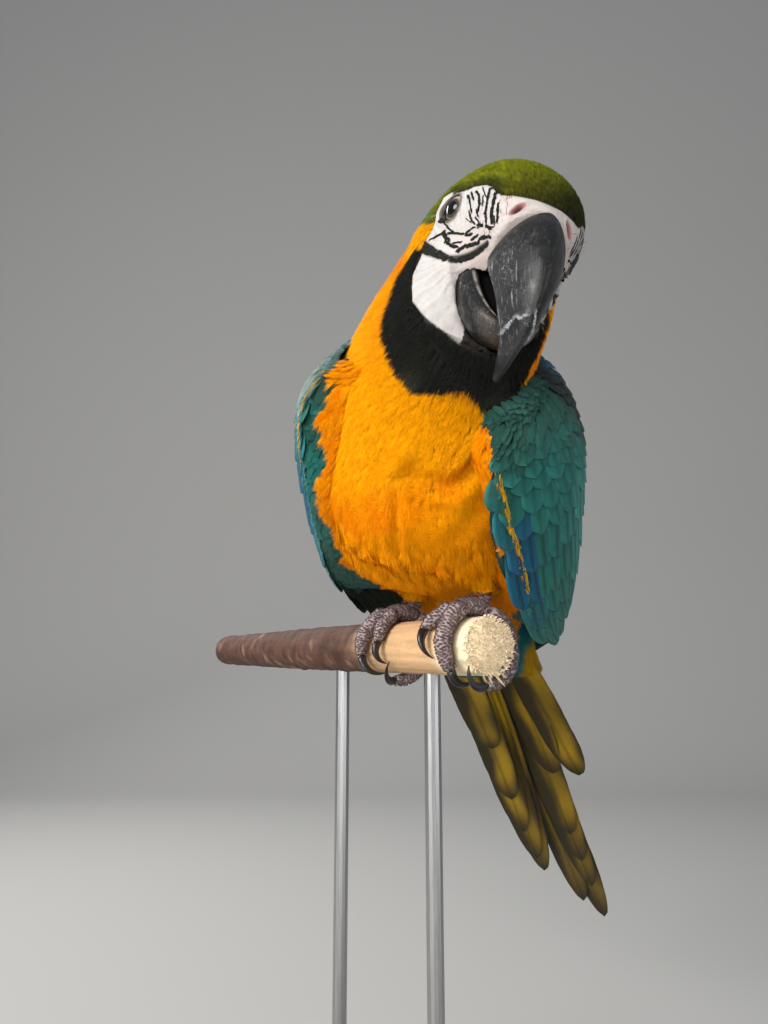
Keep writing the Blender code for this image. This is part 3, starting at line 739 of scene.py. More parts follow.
def lay(plume, cover, vane, u, v, length, half, colour, sink, rise, swing=None, camber=0.1, rough=0.08,
        tone=0.26, vary=0.03):
    """Lays one feather at each root, following the cover: sunk at its root and risen at its tip."""
    many = len(u)
    swing = RANDOM.normal(0, 0.12, many) if swing is None else swing
    sink, rise = (np.broadcast_to(depth, many)[:, None] for depth in (sink, rise))
    jitter = 1 + RANDOM.normal(0, rough, (many, len(vane.x))) * vane.fringe
    x = vane.x[None] * length[:, None] * jitter
    y = vane.y[None] * half[:, None] * (1 + RANDOM.normal(0, rough, x.shape) * vane.fringe)
    uu, vv = cover.walk(u, v, x, y, swing)
    level = np.clip(vane.x, 0, 1)[None]
    height = -sink * (1 - level) ** 1.3 + rise * level
    height = height + camber * half[:, None] * (0.6 - vane.y[None] ** 2)
    height = height + RANDOM.normal(0, 0.03, x.shape) * half[:, None] * vane.fringe * level
    points = cover.place(uu, vv, height)
    shade = 1 - tone * (1 - level) ** 1.5 + RANDOM.normal(0, 0.04, x.shape) * vane.fringe
    vary = np.reshape(vary, (-1, 1))
    shade = shade * (1 + RANDOM.normal(0, 1, (many, 1)) * vary)
    shade = shade * (1 + RANDOM.normal(0, 1, (many, vane.strand.max() + 1))[:, vane.strand] * vary)
    colours = colour(uu, vv, u, v) if callable(colour) else np.broadcast_to(colour[:, None], (*x.shape, 3))
    colours = colours * np.clip(shade, 0.25, 1.8)[..., None]
    plume.add(points, vane.faces, colours, np.stack([vane.x, vane.y], -1), cover.patch(u, v))


# ---------------------------------------------------------------- the skin

FLESH = ["head", "neck", "trunk", "tail_coverts", "wing_left", "wing_right", "thigh_left", "thigh_right"]
FLESH += ["foot_left", "foot_right"]
TOES = [f"toe_{side}_{way}_{place}" for side in ("left", "right") for way in ("front", "back")
        for place in ("outer", "inner")]
# The bare face lies ahead of this place along the head, above this height, and this near the body's surface.
FACE_REAR, FACE_LOW, FACE_NEAR = -16, 0.45, 0.012
# In metres: how far the solids swell as they are fused, and how deep the skin lies under plumage and wings.
FUSE_SWELL, BODY_SINK, WING_SINK = 0.0005, 0.004, 0.0013
EYES = {"left": np.array((-0.6, 25.0, -3.0)), "right": np.array((-0.6, -25.0, -3.0))}
EYE_RADIUS, EYE_TURN = 8.0, math.radians(15.7)


def eye_axis(side):
    """The way an eye looks, in the head's frame."""
    sign = 1 if side == "left" else -1
    return np.array((math.sin(EYE_TURN), sign * math.cos(EYE_TURN), 0.0))


def merged(node, swell=0.0):
    """A merged copy of a solid's mesh, swollen outwards."""
    bm = bmesh.new()
    bm.from_mesh(frame["nodes"][node].data)
    bmesh.ops.remove_doubles(bm, verts=bm.verts, dist=2e-5)
    bm.normal_update()
    moves = [v.co + v.normal * swell for v in bm.verts]
    for v, place in zip(bm.verts, moves):
        v.co = place
    return bm


def array_of(mesh):
    """A mesh's points as rows of numbers."""
    values = np.zeros(len(mesh.vertices) * 3, np.float32)
    mesh.vertices.foreach_get("co", values)
    return values.reshape(-1, 3).astype(float)


def applied(made):
    """The object with its modifiers' result as its own mesh."""
    graph = bpy.context.evaluated_depsgraph_get()
    mesh = bpy.data.meshes.new_from_object(made.evaluated_get(graph))
    made.modifiers.clear()
    old, made.data = made.data, mesh
    bpy.data.meshes.remove(old)
    return made


# In metres: how far from the perch's axis the toes reach, and the height where the bare feet end.
GRIP_REACH, FOOT_TOP = 0.034, 0.386


def round_perch(points):
    """Which points lie close round the perch."""
    return np.linalg.norm(np.cross(points - PERCH_END, PERCH_AXIS), axis=1) < GRIP_REACH


def on_foot(points):
    """Which points are on the bare feet."""
    return (points[:, 2] < FOOT_TOP) & round_perch(points)


def bury(points):
    """How deep the skin lies under the plumage's surface at each point, in metres."""
    head = into(HEAD, points)
    on_head = step(-0.03, 0.0, (head[:, 0] + 45) * MM)
    deep = 0.0016 + 0.0024 * step(0, -14, head[:, 0])
    deep = deep * step(1.5, -2.5, bare(head))
    deep = np.where((head[:, 2] < -54) | (head[:, 0] < -30), BODY_SINK, deep)
    return deep * on_head + BODY_SINK * (1 - on_head)


def make_skin():
    """One skin over all the flesh, fused from the solids and lying under the plumage."""
    whole = bmesh.new()
    for node in FLESH + TOES:
        part = merged(node, FUSE_SWELL)
        mesh = bpy.data.meshes.new("part")
        part.to_mesh(mesh)
        part.free()
        whole.from_mesh(mesh)
        bpy.data.meshes.remove(mesh)
    skin = object_from(whole, "skin")
    remesh = skin.modifiers.new("fuse", "REMESH")
    remesh.mode, remesh.voxel_size, remesh.adaptivity = "VOXEL", 0.0012, 0.0
    smooth = skin.modifiers.new("soften", "SMOOTH")
    smooth.factor, smooth.iterations = 0.5, 3
    return applied(skin)


def nearest_on_body(points):
    """Where along and round the body each point lies, how far from its surface, from a thinned grid."""
    at, turn = BODY_AT[::5, ::4], BODY_TURN[::5, ::4]
    grid = BODY.points[::5, ::4].reshape(-1, 3)
    tree = KDTree(len(grid))
    for k, place in enumerate(grid.tolist()):
        tree.insert(place, k)
    tree.balance()
    found = [tree.find(place)[1:] for place in points.tolist()]
    index, away = np.array([f[0] for f in found]), np.array([f[1] for f in found])
    return at.ravel()[index], turn.ravel()[index], away


def thin_hidden(skin):
    """Fewer faces where plumage covers the skin."""
    points = array_of(skin.data)
    head = into(HEAD, points)
    kept = (bare(head) > -3.0) & (head[:, 0] > FACE_REAR) & (points[:, 2] > 0.43)
    kept |= (np.abs((points - PERCH_END)[:, 2] - 0.004) < 0.026) & round_perch(points)
    group = skin.vertex_groups.new(name="covered")
    group.add(np.flatnonzero(~kept).tolist(), 1.0, "REPLACE")
    decimate = skin.modifiers.new("thin", "DECIMATE")
    decimate.ratio, decimate.vertex_group, decimate.vertex_group_factor = 0.22, "covered", 1.0
    applied(skin)
    skin.vertex_groups.clear()
    return skin


# The corner of the bill: along and up the head.
GAPE = np.array((17.0, -20.0))


def eye_distance(head):
    """Distance in millimetres from the nearer eye's axis, on the side where it looks out."""
    left = head[:, 1:2] > 0
    out = head - np.where(left, EYES["left"], EYES["right"])
    return np.linalg.norm(np.cross(out, np.where(left, eye_axis("left"), eye_axis("right"))), axis=1)


def nostril_depth(head):
    """0 outside the nostril slits to 1 in their middle."""
    sign = np.where(head[:, 1:2] > 0, 1.0, -1.0)
    middle = np.concatenate([np.full_like(sign, 32.0), 12.0 * sign, np.full_like(sign, 1.6)], 1)
    long = unit(np.concatenate([np.full_like(sign, 0.7), -4.1 * sign, np.full_like(sign, 5.5)], 1))
    out = head - middle
    along = (out * long).sum(1)
    across = np.linalg.norm(out - long * along[:, None], axis=1)
    return np.hypot(along / 3.7, across / 1.5)


def creases(head):
    """Fine folds of the cheek, fanning out from the corner of the bill; 0 to 1, deepest in a fold."""
    x, z = head[:, 0] - GAPE[0], head[:, 2] - GAPE[1]
    away, turn = np.hypot(x, z), np.degrees(np.arctan2(z, x)) % 360
    uneven = wander(np.stack([x, 0 * x, z], 1), 9.0, 3.0)
    wave = 0.5 + 0.5 * np.cos(np.radians(turn * 34) + 4.5 * uneven)
    second = 0.5 + 0.5 * np.cos(np.radians(turn * 61) + 6.0 * uneven + 1.0)
    across = 0.5 + 0.5 * np.cos(away * 3.1 + 3.0 * wander(head, 5.0, 2.0))
    part = step(3, 9, away) * step(44, 30, away)
    depth = (wave**3 * 0.6 + second**3 * 0.5 + 0.25 * across**4) * part
    return depth * (0.55 + 0.45 * wander(head, 5.0, 8.0))


def face_relief(head):
    """How far the bare face stands out, in millimetres."""
    ring = eye_distance(head)
    lift = 0.75 * np.exp(-(((ring - 6.5) / 0.8) ** 2)) - 0.35 * np.exp(-(((ring - 8.3) / 0.7) ** 2))
    lift += 0.3 * np.exp(-(((ring - 9.6) / 0.9) ** 2))
    hole = nostril_depth(head)
    lift += -1.5 * step(1.0, 0.45, hole) + 0.35 * np.exp(-(((hole - 1.25) / 0.22) ** 2))
    cheek = (head[:, 2] < -22.0) & (head[:, 0] < 24)
    lift -= np.where(cheek, 0.42, 0.12) * creases(head)
    lore = step(14, 24, head[:, 0]) * step(-22, -14, head[:, 2])
    lift -= 0.1 * lore * (0.5 + 0.5 * np.cos(head[:, 0] * 2.1 + 1.3 * wander(head, 4.0, 2.0)))
    return lift + 0.07 * wander(head, 1.6, 5.0)


def skin_colour(points, at, turn, away, wing):
    """The skin's colours: the plumage's where it is covered, the bare face's, and leathery feet."""
    head = into(HEAD, points)
    x, y, z = head.T
    colour = plumage(points, at, turn) * 0.68
    colour = np.where(wing[:, None], TEAL * 0.45, colour)
    face = FACE * (1 + 0.05 * wander(head, 3.0, 6.0))[:, None]
    # Painted shade: the skin darker in the cheek's folds.
    fold = np.clip(creases(head), 0, 1)[:, None]
    face = face * (1 - fold * np.array((0.22, 0.28, 0.29)))
    corner = np.hypot(x - 19, z + 19)
    flushed = 0.55 * np.exp(-((corner / 7.0) ** 2)) + 0.22 * step(20, 27, x)
    ring, hole = eye_distance(head), nostril_depth(head)
    for tone, share in (
        ((0.66, 0.42, 0.36), flushed * 0.7),
        ((0.105, 0.08, 0.07), step(7.5, 7.0, ring) * (x < 12)),
        ((0.022, 0.017, 0.015), step(5.9, 5.4, ring) * (x < 12)),
        ((0.33, 0.13, 0.13), step(1.35, 0.9, hole)),
        # Painted shade: the nostril's middle near black, for the depth of its opening.
        ((0.05, 0.01, 0.012), step(0.85, 0.4, hole)),
        (BLACK, step(-0.8, 0.6, band(head))),
    ):
        face = mix(face, np.array(tone), share)
    mouth = (x > 12) & (np.abs(y) < 12.5) & (z < -14)
    face = np.where(mouth[:, None], np.array((0.02, 0.014, 0.012)), face)
    colour = mix(colour, face, step(-0.6, 0.4, bare(head)) * ((x > FACE_REAR) & (away < FACE_NEAR)))
    chin = (z < -47) & (x > 14) & (np.abs(y) < 4)
    colour = np.where(chin[:, None], BLACK, colour)
    leather = np.array((0.34, 0.27, 0.265)) * (1 + 0.15 * wander(points, 0.004, 9.0))[:, None]
    return np.where(on_foot(points)[:, None], leather, colour)


def finish_skin(skin):
    """Sinks the skin under the plumage, gives the bare face its lids, folds and nostrils, and colours it."""
    bm = bmesh.new()
    bm.from_mesh(skin.data)
    places = np.array([v.co for v in bm.verts])
    head = into(HEAD, places)
    fine = (bare(head) > -1.5) & (head[:, 0] > FACE_REAR) & (places[:, 2] > FACE_LOW)
    chosen = [e for e in bm.edges if fine[e.verts[0].index] and fine[e.verts[1].index]]
    bmesh.ops.subdivide_edges(bm, edges=chosen, cuts=1, use_grid_fill=True, smooth=0.0)
    bm.normal_update()
    points, normals = np.array([v.co for v in bm.verts]), np.array([v.normal for v in bm.verts])
    at, turn, away = nearest_on_body(points)
    head, trunk, foot = into(HEAD, points), into(TRUNK, points), on_foot(points)
    wing = (away > 0.0045) & (trunk[:, 0] < 80) & (trunk[:, 0] > -140) & ~foot & (np.abs(trunk[:, 1]) > 30)
    deep = np.where(foot, 0.0, np.where(wing, WING_SINK, bury(points)))
    face = (head[:, 0] > FACE_REAR) & (points[:, 2] > FACE_LOW) & (away < FACE_NEAR)
    lift = np.where(face, face_relief(head) * step(-1.0, 0.5, bare(head)), 0.0) * MM
    on_body = (away < 0.006) & ~foot & ~wing
    lift = lift + np.where(on_body, body_relief(at, turn), 0.0)
    moved = points + normals * (lift - deep - FUSE_SWELL)[:, None]
    for v, place in zip(bm.verts, moved.tolist()):
        v.co = place
    bm.to_mesh(skin.data)
    bm.free()
    paint(skin.data, np.clip(skin_colour(points, at, turn, away, wing), 0, 1))
    skin.data.shade_smooth()
    return skin


# ---------------------------------------------------------------- the body's plumage


def bill_tree():
    """The solids of the bill as one tree to measure from."""
    points, faces = [], []
    for node in ("bill_upper", "bill_lower"):
        bm = merged(node)
        bmesh.ops.triangulate(bm, faces=bm.faces)
        base = len(points)
        points += [tuple(v.co) for v in bm.verts]
        faces += [tuple(base + v.index for v in f.verts) for f in bm.faces]
        bm.free()
    return BVHTree.FromPolygons(points, faces)


def clear_of(tree, points, gap):
    """Which points lie outside a tree's surface by more than a gap."""
    kept = []
    for place in points.tolist():
        spot, normal, _, away = tree.find_nearest(place)
        inside = (Vector(place) - spot).dot(normal) < 0
        kept.append(not inside and away > gap)
    return np.array(kept, bool)


# The body's feathers: places along it and their spacing in millimetres.
BODY_SPACING = (
    (0, 2, 4, 6.5, 7.2, 7.7, 8.3, 9.2, 10.5, 12, 15),
    (4.2, 3.2, 2.1, 1.75, 1.6, 1.25, 1.18, 1.08, 0.98, 0.92, 0.86),
)


def along_body(u):
    """Where a row of the body's grid lies along it, from the tail coverts (0) to the bill (15)."""
    return BODY_END - u * BODY_END / (BODY_STEPS - 1)


def body_spacing():
    """Spacing of the body's feathers everywhere on its grid, in metres; 0 where there are none."""
    head = into(HEAD, BODY.points.reshape(-1, 3))
    at, ridge = BODY_AT.ravel(), from_ridge(BODY_TURN.ravel())
    size = np.interp(at, *BODY_SPACING)
    size = np.where((ridge < 50) & (at < 7.5), size * 1.7, size)
    face = (bare(head) > 0.3) & (head[:, 0] > FACE_REAR) & (at > 9)
    size = np.where(face, 0.0, size)
    front = (head[:, 0] > 26) & (head[:, 2] < 4) & (head[:, 2] > -48) | (head[:, 0] > 33)
    return np.where(front | (at > 14.6), 0.0, size).reshape(BODY_AT.shape) * MM


def body_paint(u, v, root_u, root_v):
    """The plumage's colours over the feathers: each strand takes the colour of the place it covers."""
    u, v = np.repeat(u[:, 3::4], 4, axis=1), np.repeat(v[:, 3::4], 4, axis=1)
    u, v = (root[:, None] + 0.62 * (tip - root[:, None]) for root, tip in ((root_u, u), (root_v, v)))
    points = BODY.place(u, v, np.zeros(u.shape)).reshape(-1, 3)
    at = np.clip(along_body(u), 0, BODY_END).ravel()
    return plumage(points, at, (v * 2 * np.pi / BODY_TURNS).ravel()).reshape(*u.shape, 3)


def make_body_coat():
    """Soft feathers from the crown to the tail coverts, in four pieces, and loose tufts on the belly."""
    u, v, gap = BODY.scatter(body_spacing(), tries=150000)
    roots = BODY.place(u, v, np.zeros(len(u)))
    kept = clear_of(bill_tree(), roots, 0.0006)
    u, v, gap = u[kept], v[kept], gap[kept]
    at, ridge = along_body(u), from_ridge(v * 2 * np.pi / BODY_TURNS)
    length = gap * np.interp(at, (0, 3, 5, 7.2, 7.8, 8.4, 9.5, 15), (6.0, 6.1, 6.0, 5.9, 4.9, 4.9, 5.2, 4.7))
    half = length * np.interp(at, (0, 7), (0.25, 0.24))
    half = np.where((ridge < 50) & (at < 7.5), half * 1.25, half)
    sink = np.interp(at, (0, 8, 9, 12, 15), (0.0028, 0.0026, 0.002, 0.0012, 0.0009))
    rise = np.interp(at, (0, 8, 10, 15), (0.0006, 0.0004, 0.0002, 0.0001)) + RANDOM.normal(0, 0.00018, len(u))
    vary = np.interp(at, (6, 9, 10.2), (0.04, 0.1, 0.22))
    for name, low, high in (("head", 9.2, 99), ("neck", 7.2, 9.2), ("breast", 5.0, 7.2), ("belly", -99, 5.0)):
        part = (at > low) & (at <= high)
        plume = Plume()
        lay(plume, BODY, Fan(9), u[part], v[part], length[part], half[part], body_paint, sink=sink[part],
            rise=rise[part], camber=0.05, tone=0.28, vary=vary[part])
        plume.make(f"coat_{name}", SOFT_FEATHERS)
    loose = np.where((BODY_AT > 3.0) & (BODY_AT < 5.7) & (np.sin(BODY_TURN) < -0.35), 0.0048, 0.0)
    u, v, gap = BODY.scatter(loose, tries=6000)
    many, tufts = len(u), Plume()
    length = RANDOM.uniform(0.013, 0.019, many)
    lower = np.interp(along_body(u), (4.2, 4.9, 5.4, 5.7), (1.0, 2.0, 1.8, 0.6))
    rise = RANDOM.uniform(0.001, 0.0024, many) * lower
    lay(tufts, BODY, Fan(13), u, v, length, length * 0.2, body_paint, sink=0.0012, rise=rise,
        swing=RANDOM.normal(0, 0.18, many), camber=0.05, rough=0.12, tone=0.34, vary=0.05)
    tufts.make("coat_belly_tufts", SOFT_FEATHERS)


# ---------------------------------------------------------------- wings

WING_LOW, WING_HIGH, WING_COLUMNS, WING_START, WING_ROWS = -0.1, 1.1, 97, -0.4, 283


def wing_place(at, across):
    """Grid place of a point of the wing."""
    return (at - WING_START) * 30, (across - WING_LOW) * (WING_COLUMNS - 1) / (WING_HIGH - WING_LOW)


def wing_edge(name, at):
    """How far across a wing its feathers begin: the belly's gold feathers lie over the rest."""
    if name == "right":
        return np.full(np.shape(at), 0.0)
    return np.interp(at, (0.5, 0.9, 1.35, 2.4, 3.2, 3.8, 4.2), (0.0, 0.01, 0.035, 0.065, 0.055, 0.02, 0.0))


def front_reach(name, count):
    """Places down the front of a wing where it meets the breast."""
    return np.linspace(-0.38 if name == "left" else -0.62, 4.4, count)


def round_trunk(points):
    """A cover that faces away from the trunk's axis."""
    along = into(TRUNK, points)[..., 0]
    return Cover(points, False, points - out_of(TRUNK, np.stack([along, 0 * along, 0 * along], -1)))


def wing_grid(name):
    """A wing's outer face as a cover, with its places along and across at each grid point."""
    at = WING_START + np.arange(WING_ROWS)[:, None] / 30 + np.zeros((1, WING_COLUMNS))
    across = np.linspace(WING_LOW, WING_HIGH, WING_COLUMNS)[None] + np.zeros((WING_ROWS, 1))
    return round_trunk(wing_point(name, at, across)), at, across


def front_grid(name):
    """The front of a folded wing, from its edge (column 0) in to the breast (last column)."""
    side = WINGS[name][0]
    grid = BODY.points[::3, ::2]
    index = np.arange(grid.shape[0] * grid.shape[1]).reshape(grid.shape[:2])
    after = np.roll(index, -1, 1)
    faces = np.stack([index[:-1], index[1:], after[1:], after[:-1]], -1).reshape(-1, 4)
    tree = BVHTree.FromPolygons(grid.reshape(-1, 3).tolist(), faces.tolist())
    if name == "left":
        overlap, reach, swell = 0.01, (9, 7, 5, 5), 0.0015
    else:
        overlap, reach, swell = 0.03, (22, 16, 14, 13), 0.003
    at = front_reach(name, 120)
    edge = wing_point(name, at, wing_edge(name, at) + overlap)
    local = into(TRUNK, edge)
    turn = np.arctan2(local[:, 2], side * local[:, 1]) - np.radians(np.interp(at, (-0.3, 0.2, 2, 4.4), reach))
    share = np.linspace(0, 1, 25)[:, None]
    lines = []
    for start, (x, _, _), angle in zip(edge, local, turn):
        middle = out_of(TRUNK, (x, 0, 0))
        way = TRUNK[1][1] * side * math.cos(angle) + TRUNK[1][2] * math.sin(angle)
        hit = tree.ray_cast(Vector(middle), Vector(way))[0]
        end = np.array(hit) - way * 0.001 if hit else start
        bulge = unit(0.5 * (start + end) - middle) * swell
        lines.append(start * (1 - share) + end * share + bulge * np.sin(np.pi * share))
    return round_trunk(np.array(lines))


WING_GREEN = np.array((0.022, 0.07, 0.05))
WING_PALE = np.array((0.055, 0.26, 0.225))
# A painted shade for the unlit back seen beyond the left wing.
WING_PAINTED_SHADE = np.array((0.008, 0.011, 0.012))
WING_YELLOW = np.array((0.7, 0.4, 0.012))
QUILL_TIP = np.array((0.01, 0.016, 0.024))
QUILL_UNDER = np.array((0.03, 0.03, 0.012))


def wing_colour(name, at, across, shade):
    """Colour of a wing feather by its place; shade wanders from -1 to 1."""
    if name == "left":
        blue = step(0.175, 0.135, across) * step(0.05, 0.065, across)
        blue = blue * step(1.7, 2.1, at) * step(3.9, 3.1, at)
    else:
        blue = step(0.6, 0.2, across) * step(0.9, 2.0, at) * 0.9
    blue = np.maximum(blue, 0.8 * step(0.6, 0.72, across) * step(5.0, 3.0, at))
    middle = across + 0.05 * shade
    # Painted shade: a blue-black band high on the left wing, where the back beyond it lies in shadow.
    dark = step(0.46, 0.56, middle) * step(0.8, 0.62, middle) * step(2.2, 1.4, at + 0.3 * shade)
    colour = TEAL * (1 + 0.2 * shade)[:, None]
    for tone, share in (
        (WING_GREEN, step(1.5, 0.1, at + 0.5 * shade) * 0.75),
        (WING_PALE, step(0.28, 0.5, across + 0.04 * shade) * step(1.2, 2.4, at) * 0.7),
        (BLUE, blue * (0.9 + 0.1 * shade)),
        (WING_PAINTED_SHADE, dark * (0.9 if name == "left" else 0.0)),
    ):
        colour = mix(colour, tone, share)
    return colour


BLADE_CAMBER, BLADE_THICKNESS = 0.14, 0.00025


class Blade:
    """A long smooth vane with two faces: x along its shaft, y across it."""

    def __init__(self, long, wide, point, root):
        x = np.linspace(0, 1, long + 1) ** 0.9
        y = np.linspace(-1, 1, wide + 1)
        grow = root + (1 - root) * step(0, 0.45, x)
        end = np.sqrt(np.clip(1 - (np.clip(x - (1 - point), 0, 1) / point) ** 2.2, 0.0, 1))
        width = grow * np.maximum(end, 0.05)
        gx, gy = np.meshgrid(x, y, indexing="ij")
        self.x, self.y, self.edge = (
            np.concatenate([values.ravel()] * 2) for values in (gx, gy * width[:, None], np.abs(gy))
        )
        size = gx.size
        self.top = np.repeat([1.0, 0.0], size)
        index = np.arange(size).reshape(gx.shape)
        a, b, c, d = (k.ravel() for k in (index[:-1, :-1], index[1:, :-1], index[1:, 1:], index[:-1, 1:]))
        upper = np.stack([a, b, c, d], 1)
        lower = np.stack([a, d, c, b], 1) + size
        ring = np.concatenate([index[:, 0], index[-1, 1:], index[-2::-1, -1], index[0, -2:0:-1]])
        after = np.roll(ring, -1)
        wall = np.stack([ring, ring + size, after + size, after], 1)
        self.faces = np.concatenate([upper, lower, wall])[:, ::-1]


def lay_blades(plume, cover, blade, u, v, length, half, colours, sink, rise, swing):
    """Lays vanes with two faces on a cover; colours gives each vertex its own."""
    many = len(u)
    wave = RANDOM.normal(0, 1, (many, 3))
    ripple = 0.03 * np.sin(blade.x[None] * 19 + wave[:, 0:1] * 3)
    ripple = ripple + 0.02 * np.sin(blade.x[None] * 43 + wave[:, 1:2] * 3)
    x = blade.x[None] * length[:, None] * (1 + 0.02 * wave[:, 2:3] * blade.edge)
    y = blade.y[None] * half[:, None] * (1 + ripple * blade.edge)
    level = blade.x[None]
    height = -sink * (1 - level) ** 1.2 + rise * level
    height = height + BLADE_CAMBER * half[:, None] * (0.35 - blade.y[None] ** 2)
    height = height - BLADE_THICKNESS * (1 - blade.top[None])
    height = height + 0.00022 * step(0.1, 0.0, np.abs(blade.y))[None] * (1 - 0.6 * level)
    points = cover.place(*cover.walk(u, v, x, y, swing), height)
    plume.add(points, blade.faces, colours, np.stack([blade.x, blade.y], -1), cover.patch(u, v))


def blade_colours(blade, base, edge, shaft, under):
    """Each vertex's colour: base with a paler or darker edge, a dark shaft, and its own underside."""
    rim = step(0.72, 1.0, np.maximum(np.abs(blade.y), step(0.9, 1.0, blade.x)))[None, :, None]
    colour = base[:, None] * (0.8 + 0.26 * step(0.2, 1.0, blade.x))[None, :, None]
    streak = 1 + 0.06 * RANDOM.normal(0, 1, (len(base), len(blade.x), 1))
    colour = (colour + (edge[:, None] - colour) * rim) * streak
    colour = colour * (1 - (1 - shaft) * step(0.1, 0.02, np.abs(blade.y)))[None, :, None]
    return np.where((blade.top > 0.5)[None, :, None], colour, under[:, None] * streak)


# Rows of a wing's larger feathers: where each starts, its length and half width in millimetres. Longer ones
# than this have a slimmer shape.
LONG_COVERT = 29
WING_FEATHER_ROWS = (
    (0.55, 14, 5.2), (0.82, 15, 5.8), (1.1, 17, 6.2), (1.4, 20, 6.3), (1.7, 25, 6.3), (1.98, 36, 6.0),
    (2.25, 56, 5.6), (2.6, 70, 5.6), (3.05, 74, 5.6), (3.5, 76, 6.2),
)

# Rows of flight feathers: where each starts, where its outer and middle ones end, count, half width in mm.
QUILL_ROWS = ((4.1, 5.8, 7.4, 9, 8.6), (4.6, 6.7, 8.8, 9, 9.0))


def make_wing_coat(name):
    """Small coverts over the shoulder, then rows of longer ones, then the long flight feathers."""
    cover, at, across = wing_grid(name)
    left = name == "left"
    lean = -0.13 if left else -0.05
    edge = wing_edge(name, at)
    size = np.interp(at, (-0.4, 0.2, 1.2), (2.4, 3.2, 4.2))
    size = np.where((at > 0.95) & (across > 0.07), 0.0, size)
    size = np.where(across < 0.1, np.minimum(size, 2.3), size)
    size = np.where((across < edge + 0.02) & (at > 0.6), 1.5, size)
    outside = (at > 4.3) | (across < edge - np.interp(at, (0.5, 1.0), (0.03, 0.005)))
    u, v, gap = cover.scatter(np.where(outside, 0.0, size) * MM, tries=9000)
    here, place = cover.read(at[..., None], u, v)[..., 0], cover.read(across[..., None], u, v)[..., 0]
    colour = wing_colour(name, here, place, wander(cover.place(u, v, 0 * u), 0.012, 3.0 if left else 7.0))
    colour = mix(colour, np.array((0.06, 0.25, 0.23)), step(0.055, 0.02, place) * step(0.9, 1.6, here) * 0.75)
    small, covert_vane = Plume(), Vane(5, bluntness=0.42, fray=0.1, cut=0.72)
    lay(small, cover, covert_vane, u, v, gap * 2.9, gap * 0.85, colour, sink=0.001, rise=0.0005,
        swing=RANDOM.normal(lean, 0.1, len(u)), camber=0.2, vary=0.1)
    many = 130 if left else 40
    here = RANDOM.uniform(*((1.1, 3.3) if left else (-0.2, 1.6)), many)
    row = wing_edge(name, here) + 0.012 + 0.003 * np.sin(here * 5) + RANDOM.normal(0, 0.0025, many)
    u, v = wing_place(here, row)
    slim = RANDOM.uniform(0.0035, 0.0065, many)
    lay(small, cover, covert_vane, u, v, slim, slim * 0.055, np.tile(WING_YELLOW, (many, 1)),
        sink=0.0002, rise=0.0015, swing=RANDOM.normal(lean, 0.1, many), camber=0.2, vary=0.2)
    coverts, quills = Plume(), Plume()
    round_blade, slim_blade = Blade(9, 6, point=0.42, root=0.62), Blade(18, 6, point=0.22, root=0.62)
    quill_blade = Blade(26, 6, point=0.16, root=0.6)
    wide = cover.scale[:, :, 1].sum(1) / (WING_HIGH - WING_LOW)
    for k, (start, length, half) in enumerate(WING_FEATHER_ROWS):
        width = wide[int(wing_place(start, 0)[0])] / MM
        count = max(4, int(width / (half * 1.5)))
        offset, first = 0.5 if k % 2 else 0.0, 0.05 if start < 2.2 else 0.075
        places = (np.arange(count) + offset) / count * 0.94 + first + RANDOM.normal(0, 0.1 / count, count)
        starts = start + RANDOM.normal(0, 0.035, count) + 0.1 * np.abs(places - 0.5)
        u, v = wing_place(starts, places)
        base = wing_colour(name, starts + 0.012 * length, places, RANDOM.normal(0, 0.45, count))
        edge = base * 1.5 + np.array((0.022, 0.05, 0.04))
        long = length > LONG_COVERT
        blade = slim_blade if long else round_blade
        tones = blade_colours(blade, base, edge, shaft=0.45 if long else 0.65, under=base * 0.4)
        long_scale, wide_scale = RANDOM.normal(1, 0.05, count), RANDOM.normal(1, 0.05, count)
        lay_blades(coverts, cover, blade, u, v, length * MM * long_scale, half * MM * wide_scale, tones,
                   sink=0.0024, rise=0.0011, swing=RANDOM.normal(lean * (1.3 if long else 0.7), 0.04, count))
    for layer, (start, near, far, count, half) in enumerate(QUILL_ROWS):
        share = (np.arange(count) + 0.5 * layer) / count
        places = 0.05 + 0.93 * share
        ends = near + (far - near) * (1 - np.abs(2 * share - 1.0) ** 1.5)
        u, v = wing_place(np.full(count, start), places)
        steps = cover.scale[:, WING_COLUMNS // 2, 0]
        length = np.array([steps[int(a):int(wing_place(b, 0)[0])].sum() for a, b in zip(u, ends)])
        base = wing_colour(name, (start + ends) / 2, places, RANDOM.normal(0, 0.4, count))
        edge = base * 1.3 + np.array((0.01, 0.03, 0.02))
        tones = blade_colours(quill_blade, base, edge, shaft=0.55, under=np.tile(QUILL_UNDER, (count, 1)))
        tones = mix(tones, QUILL_TIP, step(0.8, 1.0, quill_blade.x) * (0.25 + 0.6 * layer))
        lay_blades(quills, cover, quill_blade, u, v, length, np.full(count, half * MM), tones,
                   sink=0.0035 + 0.0012 * layer, rise=0.0006 - 0.0022 * layer, swing=np.zeros(count))
    make_wing_front(name, small)
    small.make(f"coat_wing_{name}", WING_FEATHERS)
    coverts.make(f"coverts_{name}", WING_FEATHERS)
    quills.make(f"quills_{name}", QUILL_FEATHERS)


